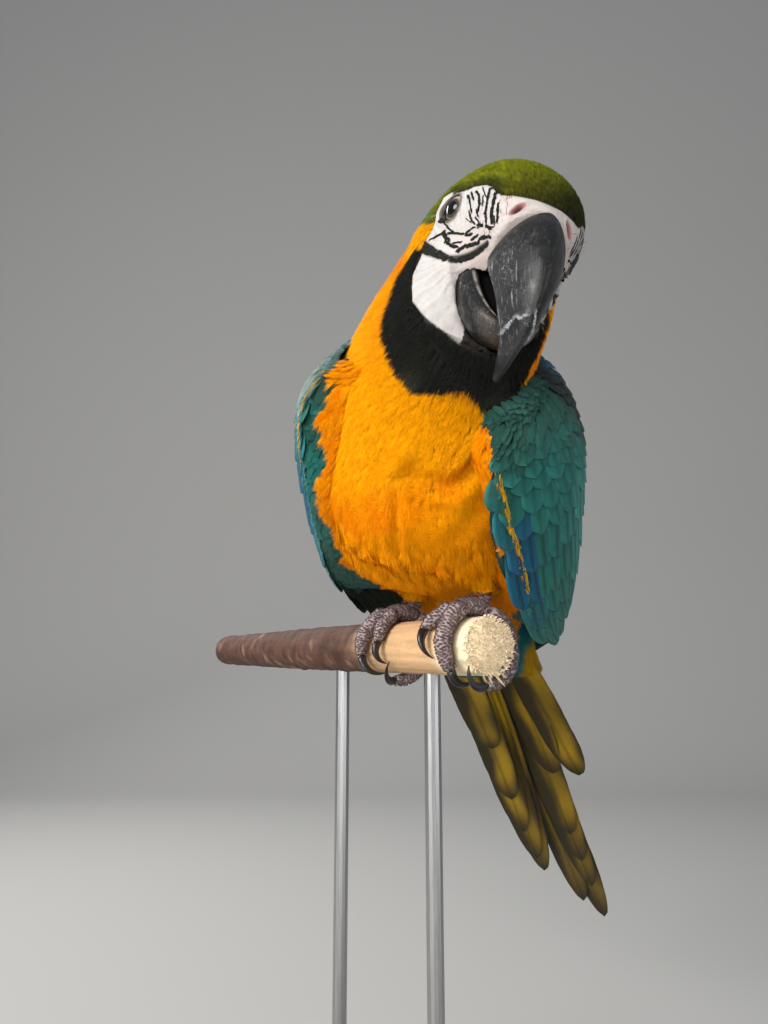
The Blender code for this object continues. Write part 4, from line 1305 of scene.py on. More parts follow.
def make_wing_front(name, small):
    """Small teal feathers on the front of the folded wing, and the breast's gold fringe over them."""
    cover = front_grid(name)
    rows, columns = cover.points.shape[:2]
    share = np.linspace(0, 1, columns)[None] + np.zeros((rows, 1))
    down = front_reach(name, rows)[:, None] + np.zeros((1, columns))
    if name == "left":
        inner = np.interp(down, (-0.2, 0.1, 0.4, 0.75, 1.05, 3.3, 3.8, 4.4),
                          (1.2, 1.0, 0.6, 0.35, 0.2, 0.2, 0.4, 0.6))
        overlap, start, lift, lean = 0.08, -0.06, 0.0017, -0.12
    else:
        inner = np.interp(down, (-0.6, -0.3, 0.3, 2.0, 3.0, 4.4), (0.2, 0.36, 0.6, 0.75, 0.85, 0.9))
        inner = inner + 0.08 * np.sin(down * 5.3) + 0.05 * np.sin(down * 13.0)
        overlap, start, lift, lean = 0.0, 0.06, 0.0016, -0.5
    u, v, gap = cover.scatter(np.where(share < inner - overlap, 0.0026, 0.0), tries=4000)
    here = cover.read(down[..., None], u, v)[..., 0]
    shade = wander(cover.place(u, v, 0 * u), 0.01, 5.0)
    colour = wing_colour("left", here, np.full(len(u), 0.02), shade) * 0.85
    colour = mix(colour, np.array((0.02, 0.075, 0.055)), step(1.8, 3.0, here) * 0.6)
    vane = Vane(5, bluntness=0.32, fray=0.08, cut=0.8)
    lay(small, cover, vane, u, v, gap * 3.2, gap * 0.9, colour, sink=0.001, rise=0.0005,
        swing=RANDOM.normal(0.0, 0.12, len(u)), camber=0.2, vary=0.12)
    fringe = Plume()
    u, v, gap = cover.scatter(np.where(share > inner + start, 0.0015, 0.0), tries=14000)
    many, here = len(u), cover.read(down[..., None], u, v)[..., 0]
    gold = GOLD + (DEEP_GOLD * (0.95, 0.85, 1) - GOLD) * RANDOM.uniform(0.2, 1.0, (many, 1))
    length = gap * RANDOM.uniform(4.0, 6.0, many) * np.interp(here, (-0.6, 0, 3, 4.4), (0.8, 1.0, 1.1, 1.3))
    lay(fringe, cover, Fan(9), u, v, length, length * 0.22, gold, sink=0.0004, rise=lift,
        swing=RANDOM.normal(lean, 0.14, many), camber=0.05, rough=0.1, vary=0.05)
    fringe.make(f"coat_fringe_{name}", SOFT_FEATHERS)


# ---------------------------------------------------------------- tail

# In metres: half the width of a tail feather, the gap between layers, and the longest one's droop and length.
TAIL_HALF, TAIL_GAP, TAIL_DROOP, TAIL_LONGEST = 0.0132, 0.00115, 0.01, 0.472


def make_tail():
    """Twelve long feathers: blue above, olive-gold with dark edges below."""
    plume = Plume()
    blade = Blade(44, 10, point=0.34, root=0.72)
    x, y, top = blade.x, blade.y, blade.top > 0.5
    for root_across, along, across, layer in TAIL_FEATHERS.values():
        level = TAIL_Z * (5.5 - layer) * TAIL_GAP
        start = TAIL_ROOT + TAIL_X * 0.018 + TAIL_Y * root_across * 0.8 + level
        end = TAIL_ROOT + TAIL_X * along + TAIL_Y * across + level
        half = TAIL_HALF * RANDOM.normal(1, 0.02)
        phase = RANDOM.random(4) * 6
        nick = 0.01 * np.sin(x * 21 + phase[0]) + 0.008 * np.sin(x * 67 + phase[1])
        out = y * half * (1 + nick * blade.edge)
        droop = TAIL_Z * TAIL_DROOP * along / TAIL_LONGEST
        line = start + (end - start) * x[:, None] - droop * (x[:, None] ** 2)
        height = 0.001 * (0.4 - y**2) + 0.00045 * step(0.09, 0.0, np.abs(y)) * np.where(top, 1, -1)
        height = height - 0.00045 * (1 - blade.top) + 0.0008 * np.sin(x * 5 + phase[2]) * y
        points = line + TAIL_Y * out[:, None] + TAIL_Z * height[:, None]
        drift = 0.16 * np.sin(x * 7 + phase[3]) + 0.08 * np.sin(x * 19 + phase[0])
        middle = step(0.8, 0.24, np.abs(y - 0.26 + drift)) * (0.72 + 0.28 * np.sin(x * 9 + phase[1]))
        under = mix(np.array((0.036, 0.025, 0.005)), OLIVE, middle * step(1.0, 0.8, x))
        upper = mix(BLUE * 0.9, np.array((0.01, 0.03, 0.06)), step(0.6, 1.0, np.abs(y)))
        colour = np.where(top[:, None], upper, under) * (1 - 0.45 * step(0.07, 0.02, np.abs(y)))[:, None]
        colour = colour * RANDOM.normal(1, 0.05, (len(x), 1))
        root = np.array([[0.1 + 0.06 * layer, 0.5]])
        plume.add(points[None], blade.faces, colour[None], np.stack([x, y], -1), root)
    return plume.make("tail_feathers", QUILL_FEATHERS)


# ---------------------------------------------------------------- eyes

IRIS_INNER, IRIS_OUTER = (0.05, 0.047, 0.036), (0.42, 0.34, 0.24)


def make_eye(side):
    """An eyeball with a raised cornea; its iris and pupil lie round the way it looks."""
    centre, axis = EYES[side], unit(eye_axis(side) + np.array((0.17, 0.0, -0.02)))
    bm = bmesh.new()
    bmesh.ops.create_uvsphere(bm, u_segments=72, v_segments=72, radius=1.0)
    turn = Vector((0, 0, 1)).rotation_difference(Vector(axis)).to_matrix()
    colours = []
    for v in bm.verts:
        away = math.acos(max(-1.0, min(1.0, v.co.z)))
        bulge = 0.3 * math.exp(-((away / 0.55) ** 4))
        local = turn @ (v.co.normalized() * (EYE_RADIUS - 0.25 + bulge))
        v.co = Vector(out_of(HEAD, centre + np.array(local)))
        ring = EYE_RADIUS * math.sin(min(away, 1.5))
        spoke = 1 + 0.12 * math.sin(math.atan2(v.normal.y, v.normal.x) * 37)
        colour = mix(np.array(IRIS_INNER) * spoke, np.array(IRIS_OUTER) * spoke, step(4.0, 4.9, ring))
        colour = mix(colour, np.array((0.03, 0.022, 0.018)), step(5.5, 5.9, ring))
        colours.append(mix(colour, np.array((0.002, 0.002, 0.002)), step(3.3, 2.9, ring)))
    bmesh.ops.recalc_face_normals(bm, faces=bm.faces)
    made = object_from(bm, f"eyeball_{side}", EYE_SURFACE)
    paint(made.data, colours)
    return made


def eye_material():
    """A wet clear surface over the colours of the mesh."""
    made, tree, shader = new_material("eye_surface", 0.03, 0.26, Coat_Weight=0.1, Coat_Roughness=0.02)
    colour = put(tree, "ShaderNodeAttribute", attribute_name="plume")
    feed(tree, shader, {"Base Color": colour.outputs["Color"]})
    return made


# ---------------------------------------------------------------- bill

# The upper bill in the head's middle plane: control points of its ridge and of its cutting edge, and its
# half-widths from root to tip.
CULMEN = ((36.8, 4.2), (54.0, 0.0), (78.0, -32.0), (49.8, -65.6))
TOMIUM = ((26.2, -21.5), (36.2, -31.8), (47.8, -38.6), (48.2, -65.0))
BILL_WIDTHS = (15.2, 15.8, 15.4, 13.9, 12.2, 10.4, 8.7, 7.0, 5.3, 3.5, 1.4)
# Rings of the lower bill: x and z of the top, x and z of the bottom, half-width.
LOWER_RINGS = (
    (6.5, -16.5, -2.5, -31, 19.6),
    (13, -18, 2.5, -42, 20.8),
    (20.5, -23, 11.5, -50, 20.2),
    (27.5, -29, 24, -53.5, 17.6),
    (34.5, -34.5, 34.5, -52.8, 14),
    (39.5, -38.2, 40.4, -50, 10.4),
    (42, -40.6, 42.9, -46.6, 7.4),
)

BILL_SIDES = 96
# Marks on worn horn: how they are stretched and turned, the noise that shows, and how pale they are.
HORN_MARKS = (
    ((1100, 1100, 120), (0.15, 0.25, 0.2), 0.57, 0.68, 0.3),
    ((260, 1300, 900), (0.3, 0.2, 0.9), 0.63, 0.72, 0.28),
    ((1500, 1500, 1500), (0, 0, 0), 0.62, 0.76, 0.24),
)


def cubic(ends, t):
    """Points of a cubic curve with four control points."""
    a, b, c, d = (np.array(end, float) for end in ends)
    t = np.asarray(t)[..., None]
    return a * (1 - t) ** 3 + b * 3 * t * (1 - t) ** 2 + c * 3 * t * t * (1 - t) + d * t**3


def horn_ring(top, bottom, half, waist, power):
    """A ring of a bill in head millimetres, from its ends in the middle plane."""
    turn = 2 * np.pi * np.arange(BILL_SIDES) / BILL_SIDES
    top, bottom = np.array((top[0], 0, top[1])), np.array((bottom[0], 0, bottom[1]))
    return oval(top, bottom, np.array((0, 1.0, 0)), half, waist, power, turn), turn


def bridged(name, rings, surface, colours):
    """A closed form whose rings are bridged in turn, with flat ends."""
    bm = bmesh.new()
    tint = bm.verts.layers.float_color.new("plume")
    loops = []
    for ring, tones in zip(rings, colours):
        verts = [bm.verts.new(place) for place in ring.tolist()]
        for v, tone in zip(verts, tones.tolist()):
            v[tint] = tone if len(tone) == 4 else (*tone, 1.0)
        loops.append([bm.edges.new((verts[k - 1], verts[k])) for k in range(len(verts))])
    for end in (loops[0], loops[-1]):
        bmesh.ops.edgeloop_fill(bm, edges=end)
    for near, far in zip(loops, loops[1:]):
        bmesh.ops.bridge_loops(bm, edges=near + far)
    bmesh.ops.recalc_face_normals(bm, faces=bm.faces)
    return object_from(bm, name, surface)


def upper_bill():
    """The long hooked upper bill: worn flanks, a flaked ledge two thirds down, and the thin hook below it."""
    rings, colours = [], []
    for t in np.arange(132) / 131:
        half = spline([[w] for w in BILL_WIDTHS], t * 10)[0]
        ring, turn = horn_ring(cubic(CULMEN, t), cubic(TOMIUM, t), half, 0.12, 1.7)
        side, up = np.cos(turn), np.sin(turn)
        low = step(0.2, -0.7, up)
        out = unit(ring - ring.mean(0))
        ledge = 0.725 + 0.03 * np.sin(turn * 2 + 0.9) + 0.012 * np.sin(turn * 7) + 0.006 * np.sin(turn * 15)
        flake = step(ledge - 0.003, ledge + 0.003, t) * step(0.98, 0.84, t)
        crack = np.abs(up + 0.3 + 0.1 * np.sin(t * 19) + 0.05 * np.sin(t * 47)) * half
        crack = step(0.9, 0.2, crack) * step(0.1, 0.16, t) * step(0.74, 0.7, t)
        swell = -0.85 * flake - 0.5 * step(0.035, 0.0, t) - 0.3 * crack
        swell = swell + 0.35 * step(0.012, 0.0, np.abs(t - ledge + 0.006))
        rough = wander(ring, 4.0, 1.0) * 0.1 + wander(ring, 1.6, 4.0) * (0.04 + 0.08 * step(0.55, 0.85, t))
        swell = swell + rough - 0.22 * low * (0.5 + 0.5 * np.sin(t * 70 + 2 * np.sin(t * 23)))
        rings.append(out_of(HEAD, ring + out * (swell * step(1.0, 0.93, t))[:, None]))
        flank = step(0.15, 0.55, np.abs(side)) * step(0.95, 0.3, up)
        worn = flank * step(0.06, 0.25, t) * step(0.8, 0.62, t) * (0.55 + 0.45 * wander(ring, 5.0, 7.0))
        grey = 0.009 + 0.014 * worn + 0.004 * wander(ring, 3.0, 2.0)
        broken = step(-0.5, 0.3, wander(ring, 2.2, 12.0))
        grey = grey + 0.42 * step(0.008, 0.002, np.abs(t - ledge)) * (0.3 + 0.7 * broken)
        grey = grey + 0.1 * crack * broken
        grey = grey + 0.05 * step(0.02, 0.0, t) + 0.012 * step(0.74, 0.8, t) * step(0.95, 0.85, t)
        wear = np.clip(0.12 + worn + 0.3 * step(0.7, 0.74, t) * step(0.9, 0.8, t), 0, 1)
        colours.append(np.column_stack([np.clip(grey, 0.006, 1)[:, None] * np.array((1.0, 1.0, 1.05)), wear]))
    return bridged("bill_upper_horn", rings, HORN, colours)


def lower_bill():
    """The scoop of the lower bill: a thin pale rim, a dark hollow inside it, and a worn front."""
    rings, colours = [], []
    for t in np.arange(70) / 69:
        top_x, top_z, bottom_x, bottom_z, half = spline(LOWER_RINGS, t * 6)
        ring, turn = horn_ring((top_x, top_z), (bottom_x, bottom_z), half, 0.62, 2.0)
        up = np.sin(turn)
        rough = 0.1 * wander(ring, 3.0, 2.0) + 0.06 * wander(ring, 1.2, 6.0)
        moved = ring + unit(ring - ring.mean(0)) * (rough * step(1.0, 0.9, t))[:, None]
        moved[:, 2] += -4.2 * step(0.66, 0.86, up) * step(0.0, 0.15, t) * step(1.0, 0.85, t)
        rings.append(out_of(HEAD, moved))
        rim = step(0.032, 0.008, np.abs(up - 0.6 - 0.015 * np.sin(t * 40)))
        patchy = 0.5 + 0.5 * wander(ring, 4.0, 3.0)
        tone = np.clip(0.006 + 0.005 * patchy, 0.004, 1)[:, None] * np.array((1.0, 1.0, 1.04))
        tone = mix(tone, np.array((0.06, 0.05, 0.04)), step(0.6, 0.8, t) * step(0.55, 0.1, up) * 0.8)
        tone = mix(tone, np.array((0.34, 0.3, 0.26)), rim * 0.75)
        tone = mix(tone, np.array((0.006, 0.005, 0.005)), step(0.66, 0.72, up))
        wear = np.clip(0.1 + 0.45 * patchy * step(0.6, 0.3, up), 0, 1) * step(0.7, 0.62, up)
        colours.append(np.column_stack([tone, wear]))
    return bridged("bill_lower_horn", rings, HORN, colours)


def horn_material(name, roughness, scale):
    """Dark horn; pale scratches, cracks and specks show where the mesh's alpha says it is worn."""
    made, tree, shader = new_material(name, roughness, 0.24, Coat_Weight=0.05, Coat_Roughness=0.25)
    colour = put(tree, "ShaderNodeAttribute", attribute_name="plume")
    uneven = put(tree, "ShaderNodeGroup", {"Scale": scale, "Strength": 0.7}, node_tree=MOTTLE)
    place = put(tree, "ShaderNodeTexCoord").outputs["Object"]
    bend = put(tree, "ShaderNodeTexNoise", {"Vector": place, "Scale": 300.0, "Detail": 3.0}).outputs["Color"]
    bent = put(tree, "ShaderNodeMix", {0: 0.012, 4: place, 5: bend}, data_type="VECTOR").outputs[1]
    cells = put(tree, "ShaderNodeTexVoronoi", {"Vector": bent, "Scale": 110.0}, feature="DISTANCE_TO_EDGE")
    marks = []
    for size, turned, low, high, strength in HORN_MARKS:
        stretch = put(tree, "ShaderNodeMapping", {"Vector": place, "Scale": size, "Rotation": turned})
        specks = noise(tree, stretch.outputs["Vector"], 1.0, 4.0, Roughness=0.65)
        marks.append(fade(tree, specks, low, high, 0.0, strength))
    total = marks[0]
    for mark in marks[1:] + [fade(tree, cells.outputs["Distance"], 0.016, 0.0, 0.0, 0.22)]:
        total = calc(tree, "ADD", total, mark)
    shown = calc(tree, "MULTIPLY", total, colour.outputs["Alpha"])
    values = {0: 1.0, "A": tinted(tree, colour.outputs["Color"], uneven.outputs["Tone"]), "B": shown}
    worn = put(tree, "ShaderNodeMix", values, data_type="RGBA", blend_type="ADD").outputs["Result"]
    gloss = fade(tree, uneven.outputs["Height"], 0.35, 0.75, roughness - 0.08, roughness + 0.2)
    feed(tree, shader, {"Base Color": worn, "Roughness": gloss})
    bumped(tree, shader, specks, 0.00012, 0.5)
    return made


# ---------------------------------------------------------------- face lines and bristles

# Lines of tiny black feathers on each side of the face: points along and up the head, and their width.
FACE_LINES = (
    (((9.5, 3.0), (12.3, 0.9), (15.4, -2.9)), 1.3),
    (((13.8, -2.9), (15.4, -5.0), (17.3, -6.8), (19.1, -8.0)), 1.0),
    (((10.5, 4.6), (13.8, 2.0)), 1.1),
    (((12.7, 5.0), (15.4, 3.9), (18.0, 0.9), (19.2, -2.4)), 1.6),
    (((17.7, -2.1), (19.6, -4.5)), 1.0),
    (((18.4, -5.2), (20.8, -6.9), (22.0, -7.7)), 0.8),
    (((18.2, 3.7), (19.9, 0.4)), 0.8),
    (((15.0, 7.3), (19.3, 3.9)), 0.6),
    (((18.6, 7.7), (20.6, 3.5), (22.2, -0.4), (23.0, -3.2), (24.7, -6.3)), 1.4),
    (((20.5, 8.0), (22.9, 4.0), (24.7, 0.1), (25.8, -3.1), (26.7, -5.8)), 1.6),
    (((25.7, 2.2), (27.4, -1.7), (28.4, -4.7)), 1.1),
    (((26.8, -3.2), (27.9, -6.0)), 0.7),
    (((13.1, -6.5), (16.6, -7.7)), 0.5),
    (((-0.1, -7.2), (2.4, -10.2), (5.4, -11.7), (9.1, -12.9)), 1.1),
    (((-2.4, -9.8), (2.2, -9.3)), 2.0),
    (((7.5, -13.8), (10.6, -13.1), (14.4, -12.7), (16.2, -12.8), (18.8, -11.7)), 1.4),
    (((16.0, -11.5), (18.8, -9.6), (20.9, -9.4)), 1.0),
    (((21.6, -8.3), (24.0, -8.2), (26.8, -8.4), (27.7, -8.1)), 1.6),
    (((18.8, -13.6), (21.7, -11.6)), 1.6),
    (((-0.8, -18.0), (2.6, -15.3), (4.1, -13.3)), 1.6),
    (((3.8, -12.9), (6.0, -15.5), (7.9, -16.2)), 2.4),
    (((6.4, -17.0), (9.2, -18.1), (11.1, -18.4), (13.0, -17.8)), 1.8),
    (((11.0, -16.9), (14.3, -15.7)), 1.0),
    (((13.3, -19.2), (15.2, -17.3), (18.2, -16.0), (21.4, -14.5), (23.5, -12.4), (27.7, -11.6)), 1.8),
)


class SkinSide:
    """The finished skin as a tree, so that small things can be set on it from either side of the head."""

    def __init__(self, skin):
        mesh = skin.data
        mesh.calc_loop_triangles()
        points = [v.co.copy() for v in mesh.vertices]
        faces = [tuple(t.vertices) for t in mesh.loop_triangles]
        self.tree = BVHTree.FromPolygons(points, faces)

    def spot(self, side, x, z):
        """The skin's place and normal at x and z of the head, from the bird's left (1) or right (-1)."""
        start = Vector(out_of(HEAD, (x, side * 60.0, z)))
        way = Vector(-side * HEAD[1][1])
        place, normal, _, _ = self.tree.ray_cast(start, way)
        return place, normal


def polyline(points, gap):
    """Evenly spaced places along a smooth line, and its direction at each."""
    fine = spline(points, np.linspace(0, len(points) - 1, 60))
    run = np.concatenate([[0], np.cumsum(np.linalg.norm(np.diff(fine, axis=0), axis=1))])
    at = np.arange(0, run[-1], gap)
    place = np.stack([np.interp(at, run, fine[:, k]) for k in range(2)], 1)
    return place, np.gradient(place, axis=0)


def tuft(points, faces, root, way, normal, length, half, rise):
    """A short flat blade of hair-like barbs standing a little off the skin."""
    side = normal.cross(way).normalized()
    base = len(points)
    for share, wide, up in ((0.0, 0.7, -0.15), (0.4, 1.0, 0.35), (0.8, 0.7, 0.8)):
        middle = root + way * length * share + normal * rise * up
        points += [middle + side * half * wide, middle - side * half * wide]
    points.append(root + way * length * 1.1 + normal * rise)
    for k in (0, 2):
        faces += [(base + k, base + k + 1, base + k + 3), (base + k, base + k + 3, base + k + 2)]
    faces.append((base + 4, base + 5, base + 6))


def flat_way(normal, along, up):
    """A direction along and up the head, laid flat on the skin."""
    way = Vector(HEAD[1][0] * along + HEAD[1][2] * up)
    return (way - normal * way.dot(normal)).normalized()


BAND_TUFTS, LORE_BRISTLES = 2600, 46


def make_face_lines(ground):
    """Lines of tiny black feathers on the bare face, the band over the cheek, and the lore's bristles."""
    points, faces = [], []
    for side in (1, -1):
        for line, width in FACE_LINES:
            width = width if side < 0 else 0.6 * width
            spots, ways = polyline(line, 0.42)
            for (x, z), way in zip(spots, ways):
                for _ in range(3):
                    nudge = RANDOM.normal(0, width * 0.13, 2)
                    place, normal = ground.spot(side, x + nudge[0], z + nudge[1])
                    if place is None:
                        continue
                    turned = way / max(np.hypot(*way), 1e-6)
                    flow = (-1 if turned[1] > 0 else 1) * turned + RANDOM.normal(0, 0.06, 2)
                    long, half = RANDOM.uniform(1.2, 1.8) * MM, width * RANDOM.uniform(0.2, 0.3) * MM
                    tuft(points, faces, place, flat_way(normal, *flow), normal, long, half, 0.0003)
        for _ in range(BAND_TUFTS):
            x, z = RANDOM.uniform(-5, 26.5), RANDOM.uniform(-26.5, -12)
            if band(np.array([[x, 0.0, z]]))[0] < 0.25:
                continue
            place, normal = ground.spot(side, x, z)
            if place is None:
                continue
            slope = np.interp(x, (0, 9, 12, 26), (0.05, 0.0, -0.35, -0.55))
            way = flat_way(normal, -0.9, slope + RANDOM.normal(0, 0.1))
            tuft(points, faces, place, way, normal, RANDOM.uniform(1.3, 2.2) * MM, 0.00033, 0.0004)
        for _ in range(LORE_BRISTLES):
            x, z = RANDOM.uniform(21, 31), RANDOM.uniform(-12, 7)
            place, normal = ground.spot(side, x, z)
            if place is None:
                continue
            way = (normal + Vector(RANDOM.normal(0, 0.35, 3))).normalized()
            long = RANDOM.uniform(2.5, 4.5) * MM
            tuft(points, faces, place, way, Vector(HEAD[1][2]), long, 0.00011, 0.0004)
    colours = np.tile(BLACK * 1.3, (len(points), 1)) * RANDOM.uniform(0.6, 1.5, (len(points), 1))
    points = np.array(points)
    patch = into(HEAD, points)[:, (0, 2)] / 120 + 0.5
    maps = {"OFBake": patch, "vane": patch}
    return mesh_object("face_feathers", points, faces, SOFT_FEATHERS, colours, maps)


# ---------------------------------------------------------------- feet and claws

SCALE_TONE = np.array((0.092, 0.062, 0.06))


def blend(corners, shares):
    """A point of a triangle, or a direction there, from its corners."""
    return sum((corner * share for corner, share in zip(corners, shares)), Vector())


def make_scales():
    """Small domed scales over the toes and feet, closest on the toes."""
    points, faces, colours = [], [], []
    sides, way, gap = 6, Vector(PERCH_AXIS), 0.00125
    for node in TOES + ["foot_left", "foot_right"]:
        bm = merged(node)
        bmesh.ops.triangulate(bm, faces=bm.faces)
        bm.normal_update()
        tris = [[Vector(v.co) for v in f.verts] for f in bm.faces]
        norms = [[Vector(v.normal) for v in f.verts] for f in bm.faces]
        areas = np.array([f.calc_area() for f in bm.faces])
        bm.free()
        share = np.cumsum(areas) / areas.sum()
        picks = np.searchsorted(share, RANDOM.random(int(areas.sum() / gap**2 * 5)))
        mixes = RANDOM.dirichlet((1, 1, 1), len(picks))
        places = [blend(tris[pick], shares) for pick, shares in zip(picks, mixes)]
        flat = np.array([place - way * way.dot(place) * 0.42 for place in places])
        for k in kept_apart(flat, np.full(len(flat), gap), gap):
            place = places[k]
            normal = blend(norms[picks[k]], mixes[k]).normalized()
            along = (way - normal * way.dot(normal)).normalized()
            other = normal.cross(along)
            radius = gap * RANDOM.uniform(0.49, 0.57)
            base, spin = len(points), RANDOM.uniform(0, 1)
            tone = SCALE_TONE * RANDOM.uniform(0.65, 1.4)
            points.append(place + normal * 0.00042)
            colours.append(tone * 1.15)
            for ring, high, shade in ((0.72, 0.00036, 1.0), (1.0, 0.00002, 1.1)):
                for side in range(sides):
                    turn = (side + spin) * 2 * math.pi / sides
                    out = along * math.cos(turn) * 1.75 + other * math.sin(turn) * 0.95
                    points.append(place + out * radius * ring + normal * high)
                    colours.append(tone * shade)
            for side in range(sides):
                a, b = base + 1 + side, base + 1 + (side + 1) % sides
                faces += [(base, a, b), (a, a + sides, b + sides), (a, b + sides, b)]
    spots = np.array(points)
    patch = np.stack([(spots - PERCH_END) @ PERCH_AXIS / 0.13, (spots[:, 2] - 0.33) / 0.08], 1) * 0.9 + 0.05
    return mesh_object("foot_scales", spots, faces, SCALE_SKIN, np.array(colours), {"OFBake": patch})


def smooth_copy(node, name, levels, surface):
    """A merged copy of a small solid, rounded by subdivision."""
    bm = merged(node)
    bmesh.ops.recalc_face_normals(bm, faces=bm.faces)
    bmesh.ops.join_triangles(bm, faces=bm.faces, angle_face_threshold=0.7, angle_shape_threshold=0.9)
    made = object_from(bm, name)
    rounding = made.modifiers.new("round", "SUBSURF")
    rounding.levels = rounding.render_levels = levels
    applied(made).data.shade_smooth()
    return dressed(made, surface)


# ---------------------------------------------------------------- perch

PERCH_FAR_RADIUS = 0.0132
# Knots: how far along the perch and where round it each lies, and its size.
KNOTS = ((0.105, 0.9, 0.01), (0.15, 2.6, 0.009), (0.215, 4.4, 0.011), (0.262, 1.3, 0.01))


def make_perch():
    """The cut branch: ridged bark far along it, a gnawed pale stretch near the bird, and a splintered end."""
    rings, colours, sides = [], [], 96
    turn = 2 * np.pi * np.arange(sides) / sides
    out = np.cos(turn)[:, None] * PERCH_BACK + np.sin(turn)[:, None] * np.array((0, 0, 1.0))
    for t in np.arange(190) / 189:
        along = PERCH_LENGTH * t
        radius = PERCH_RADIUS + (PERCH_FAR_RADIUS - PERCH_RADIUS) * step(0.42, 1.0, t)
        middle = PERCH_END + PERCH_AXIS * along
        spot = middle + out * radius
        bark = step(0.085, 0.125, along + 0.014 * wander(spot, 0.012, 2.0))
        grain = wander(spot + out * 0.01 - PERCH_AXIS * along * 0.9, 0.0022, 3.0)
        furrow = np.sin(along * 480 + 4.5 * wander(spot, 0.01, 5.0))
        high = -0.0002 * (1 - bark) + 0.00028 * grain * (1 - 0.4 * bark)
        high = high + furrow * 0.00022 * bark * (0.5 + 0.5 * wander(spot, 0.02, 9.0))
        high = high + 0.00055 * bark * wander(spot, 0.01, 7.0)
        for place, where, size in KNOTS:
            away = np.hypot(along - place, radius * np.angle(np.exp(1j * (turn - where)))) / size
            high = high + 0.0013 * np.exp(-(away**2) * 3) * np.cos(away * 6)
        torn = step(0.022, 0.0, along) * step(-0.4, 0.6, wander(spot - PERCH_AXIS * along, 0.009, 4.0))
        high = high - 0.0026 * torn
        high = high - 0.001 * step(0.005, 0.0, along) * (0.6 + 0.6 * np.abs(wander(spot, 0.004, 1.0)))
        rings.append(middle + out * (radius + np.minimum(high, 0.0012))[:, None])
        pale = np.array((0.6, 0.37, 0.19)) * (1 + 0.22 * grain + 0.12 * wander(spot, 0.02, 8.0))[:, None]
        cream = np.array((0.88, 0.72, 0.48)) * (1 + 0.1 * wander(spot, 0.003, 5.0))[:, None]
        pale = mix(pale, cream, step(0.034, 0.016, along + 0.012 * wander(spot, 0.012, 3.0)))
        brown = np.array((0.088, 0.04, 0.026)) * (1 + 0.45 * wander(spot, 0.006, 6.0) + 0.2 * grain)[:, None]
        brown = mix(brown, np.array((0.36, 0.22, 0.15)), step(0.3, 0.8, wander(spot, 0.009, 11.0)) * 0.6)
        tone = mix(pale, brown, bark) * (1 - 0.25 * step(-0.3, -0.9, furrow) * bark)[:, None]
        colours.append(np.clip(tone, 0.01, 1))
    return bridged("perch_branch", rings, BRANCH, colours)


TORN_FIBRES = 2600
FIBRE_TONE, SPLINTER_TONE = np.array((0.95, 0.8, 0.57)), np.array((0.62, 0.45, 0.26))
# Long splinters: where round the perch each hangs, and its length in metres.
SPLINTERS = ((-1.9, 0.009), (-1.6, 0.006), (-1.35, 0.009), (-1.1, 0.005), (-2.3, 0.005))


def make_perch_end():
    """The gnawed end: short torn fibres all over its face, and a few long splinters hanging from its edge."""
    points, faces, colours = [], [], []
    side, up, inward = Vector(PERCH_BACK), Vector((0, 0, 1)), Vector(PERCH_AXIS)
    middle = Vector(PERCH_END)
    for _ in range(TORN_FIBRES):
        r, turn = PERCH_RADIUS * 0.97 * math.sqrt(RANDOM.random()), RANDOM.uniform(0, 2 * math.pi)
        out = side * math.cos(turn) + up * math.sin(turn)
        way = (-inward + Vector(RANDOM.normal(0, 0.75, 3)) + out * 0.35 * r / PERCH_RADIUS).normalized()
        long, half = RANDOM.uniform(0.0008, 0.0024), RANDOM.uniform(0.00025, 0.0006)
        root = middle + out * r + inward * 0.0008
        tuft(points, faces, root, way, way.orthogonal().normalized(), long, half, 0.0003)
        colours += [FIBRE_TONE * RANDOM.uniform(0.65, 1.1)] * 7
    for turn, long in SPLINTERS:
        out = side * math.cos(turn) + up * math.sin(turn)
        way = (-inward * 0.55 + out * 0.7 + Vector(RANDOM.normal(0, 0.15, 3))).normalized()
        root = middle + out * PERCH_RADIUS * 0.86 + inward * 0.002
        tuft(points, faces, root, way, out, long, 0.0008, 0.0006)
        colours += [SPLINTER_TONE] * 7
    spots = np.array(points)
    patch = np.stack([(spots - PERCH_END) @ PERCH_BACK, spots[:, 2] - PERCH_END[2]], 1) / 0.06 + 0.5
    return mesh_object("perch_fibres", spots, faces, FIBRE, np.array(colours), {"OFBake": patch})


def plain_material(name, roughness, scale, strength, bump, specular=0.3, relief=0.7):
    """Colours from the mesh, uneven in tone and height."""
    made, tree, shader = new_material(name, roughness, specular)
    bumped(tree, shader, coloured(tree, shader, scale, strength), bump, relief)
    return made


def stand_wood_material():
    """Dark oiled wood with long grain."""
    made, tree, shader = new_material("stand_walnut", 0.38, Coat_Weight=0.2, Coat_Roughness=0.2)
    grain = noise(tree, stretched(tree, (90, 9, 90)), 1.0, 8.0, Roughness=0.62, Distortion=0.6)
    ramp = put(tree, "ShaderNodeValToRGB", {"Fac": grain})
    dark, light = ramp.color_ramp.elements
    dark.position, light.position = 0.3, 0.72
    dark.color, light.color = (0.03, 0.015, 0.008, 1), (0.12, 0.062, 0.034, 1)
    feed(tree, shader, {"Base Color": ramp.outputs["Color"]})
    bumped(tree, shader, grain, 0.0002, 0.5)
    return made


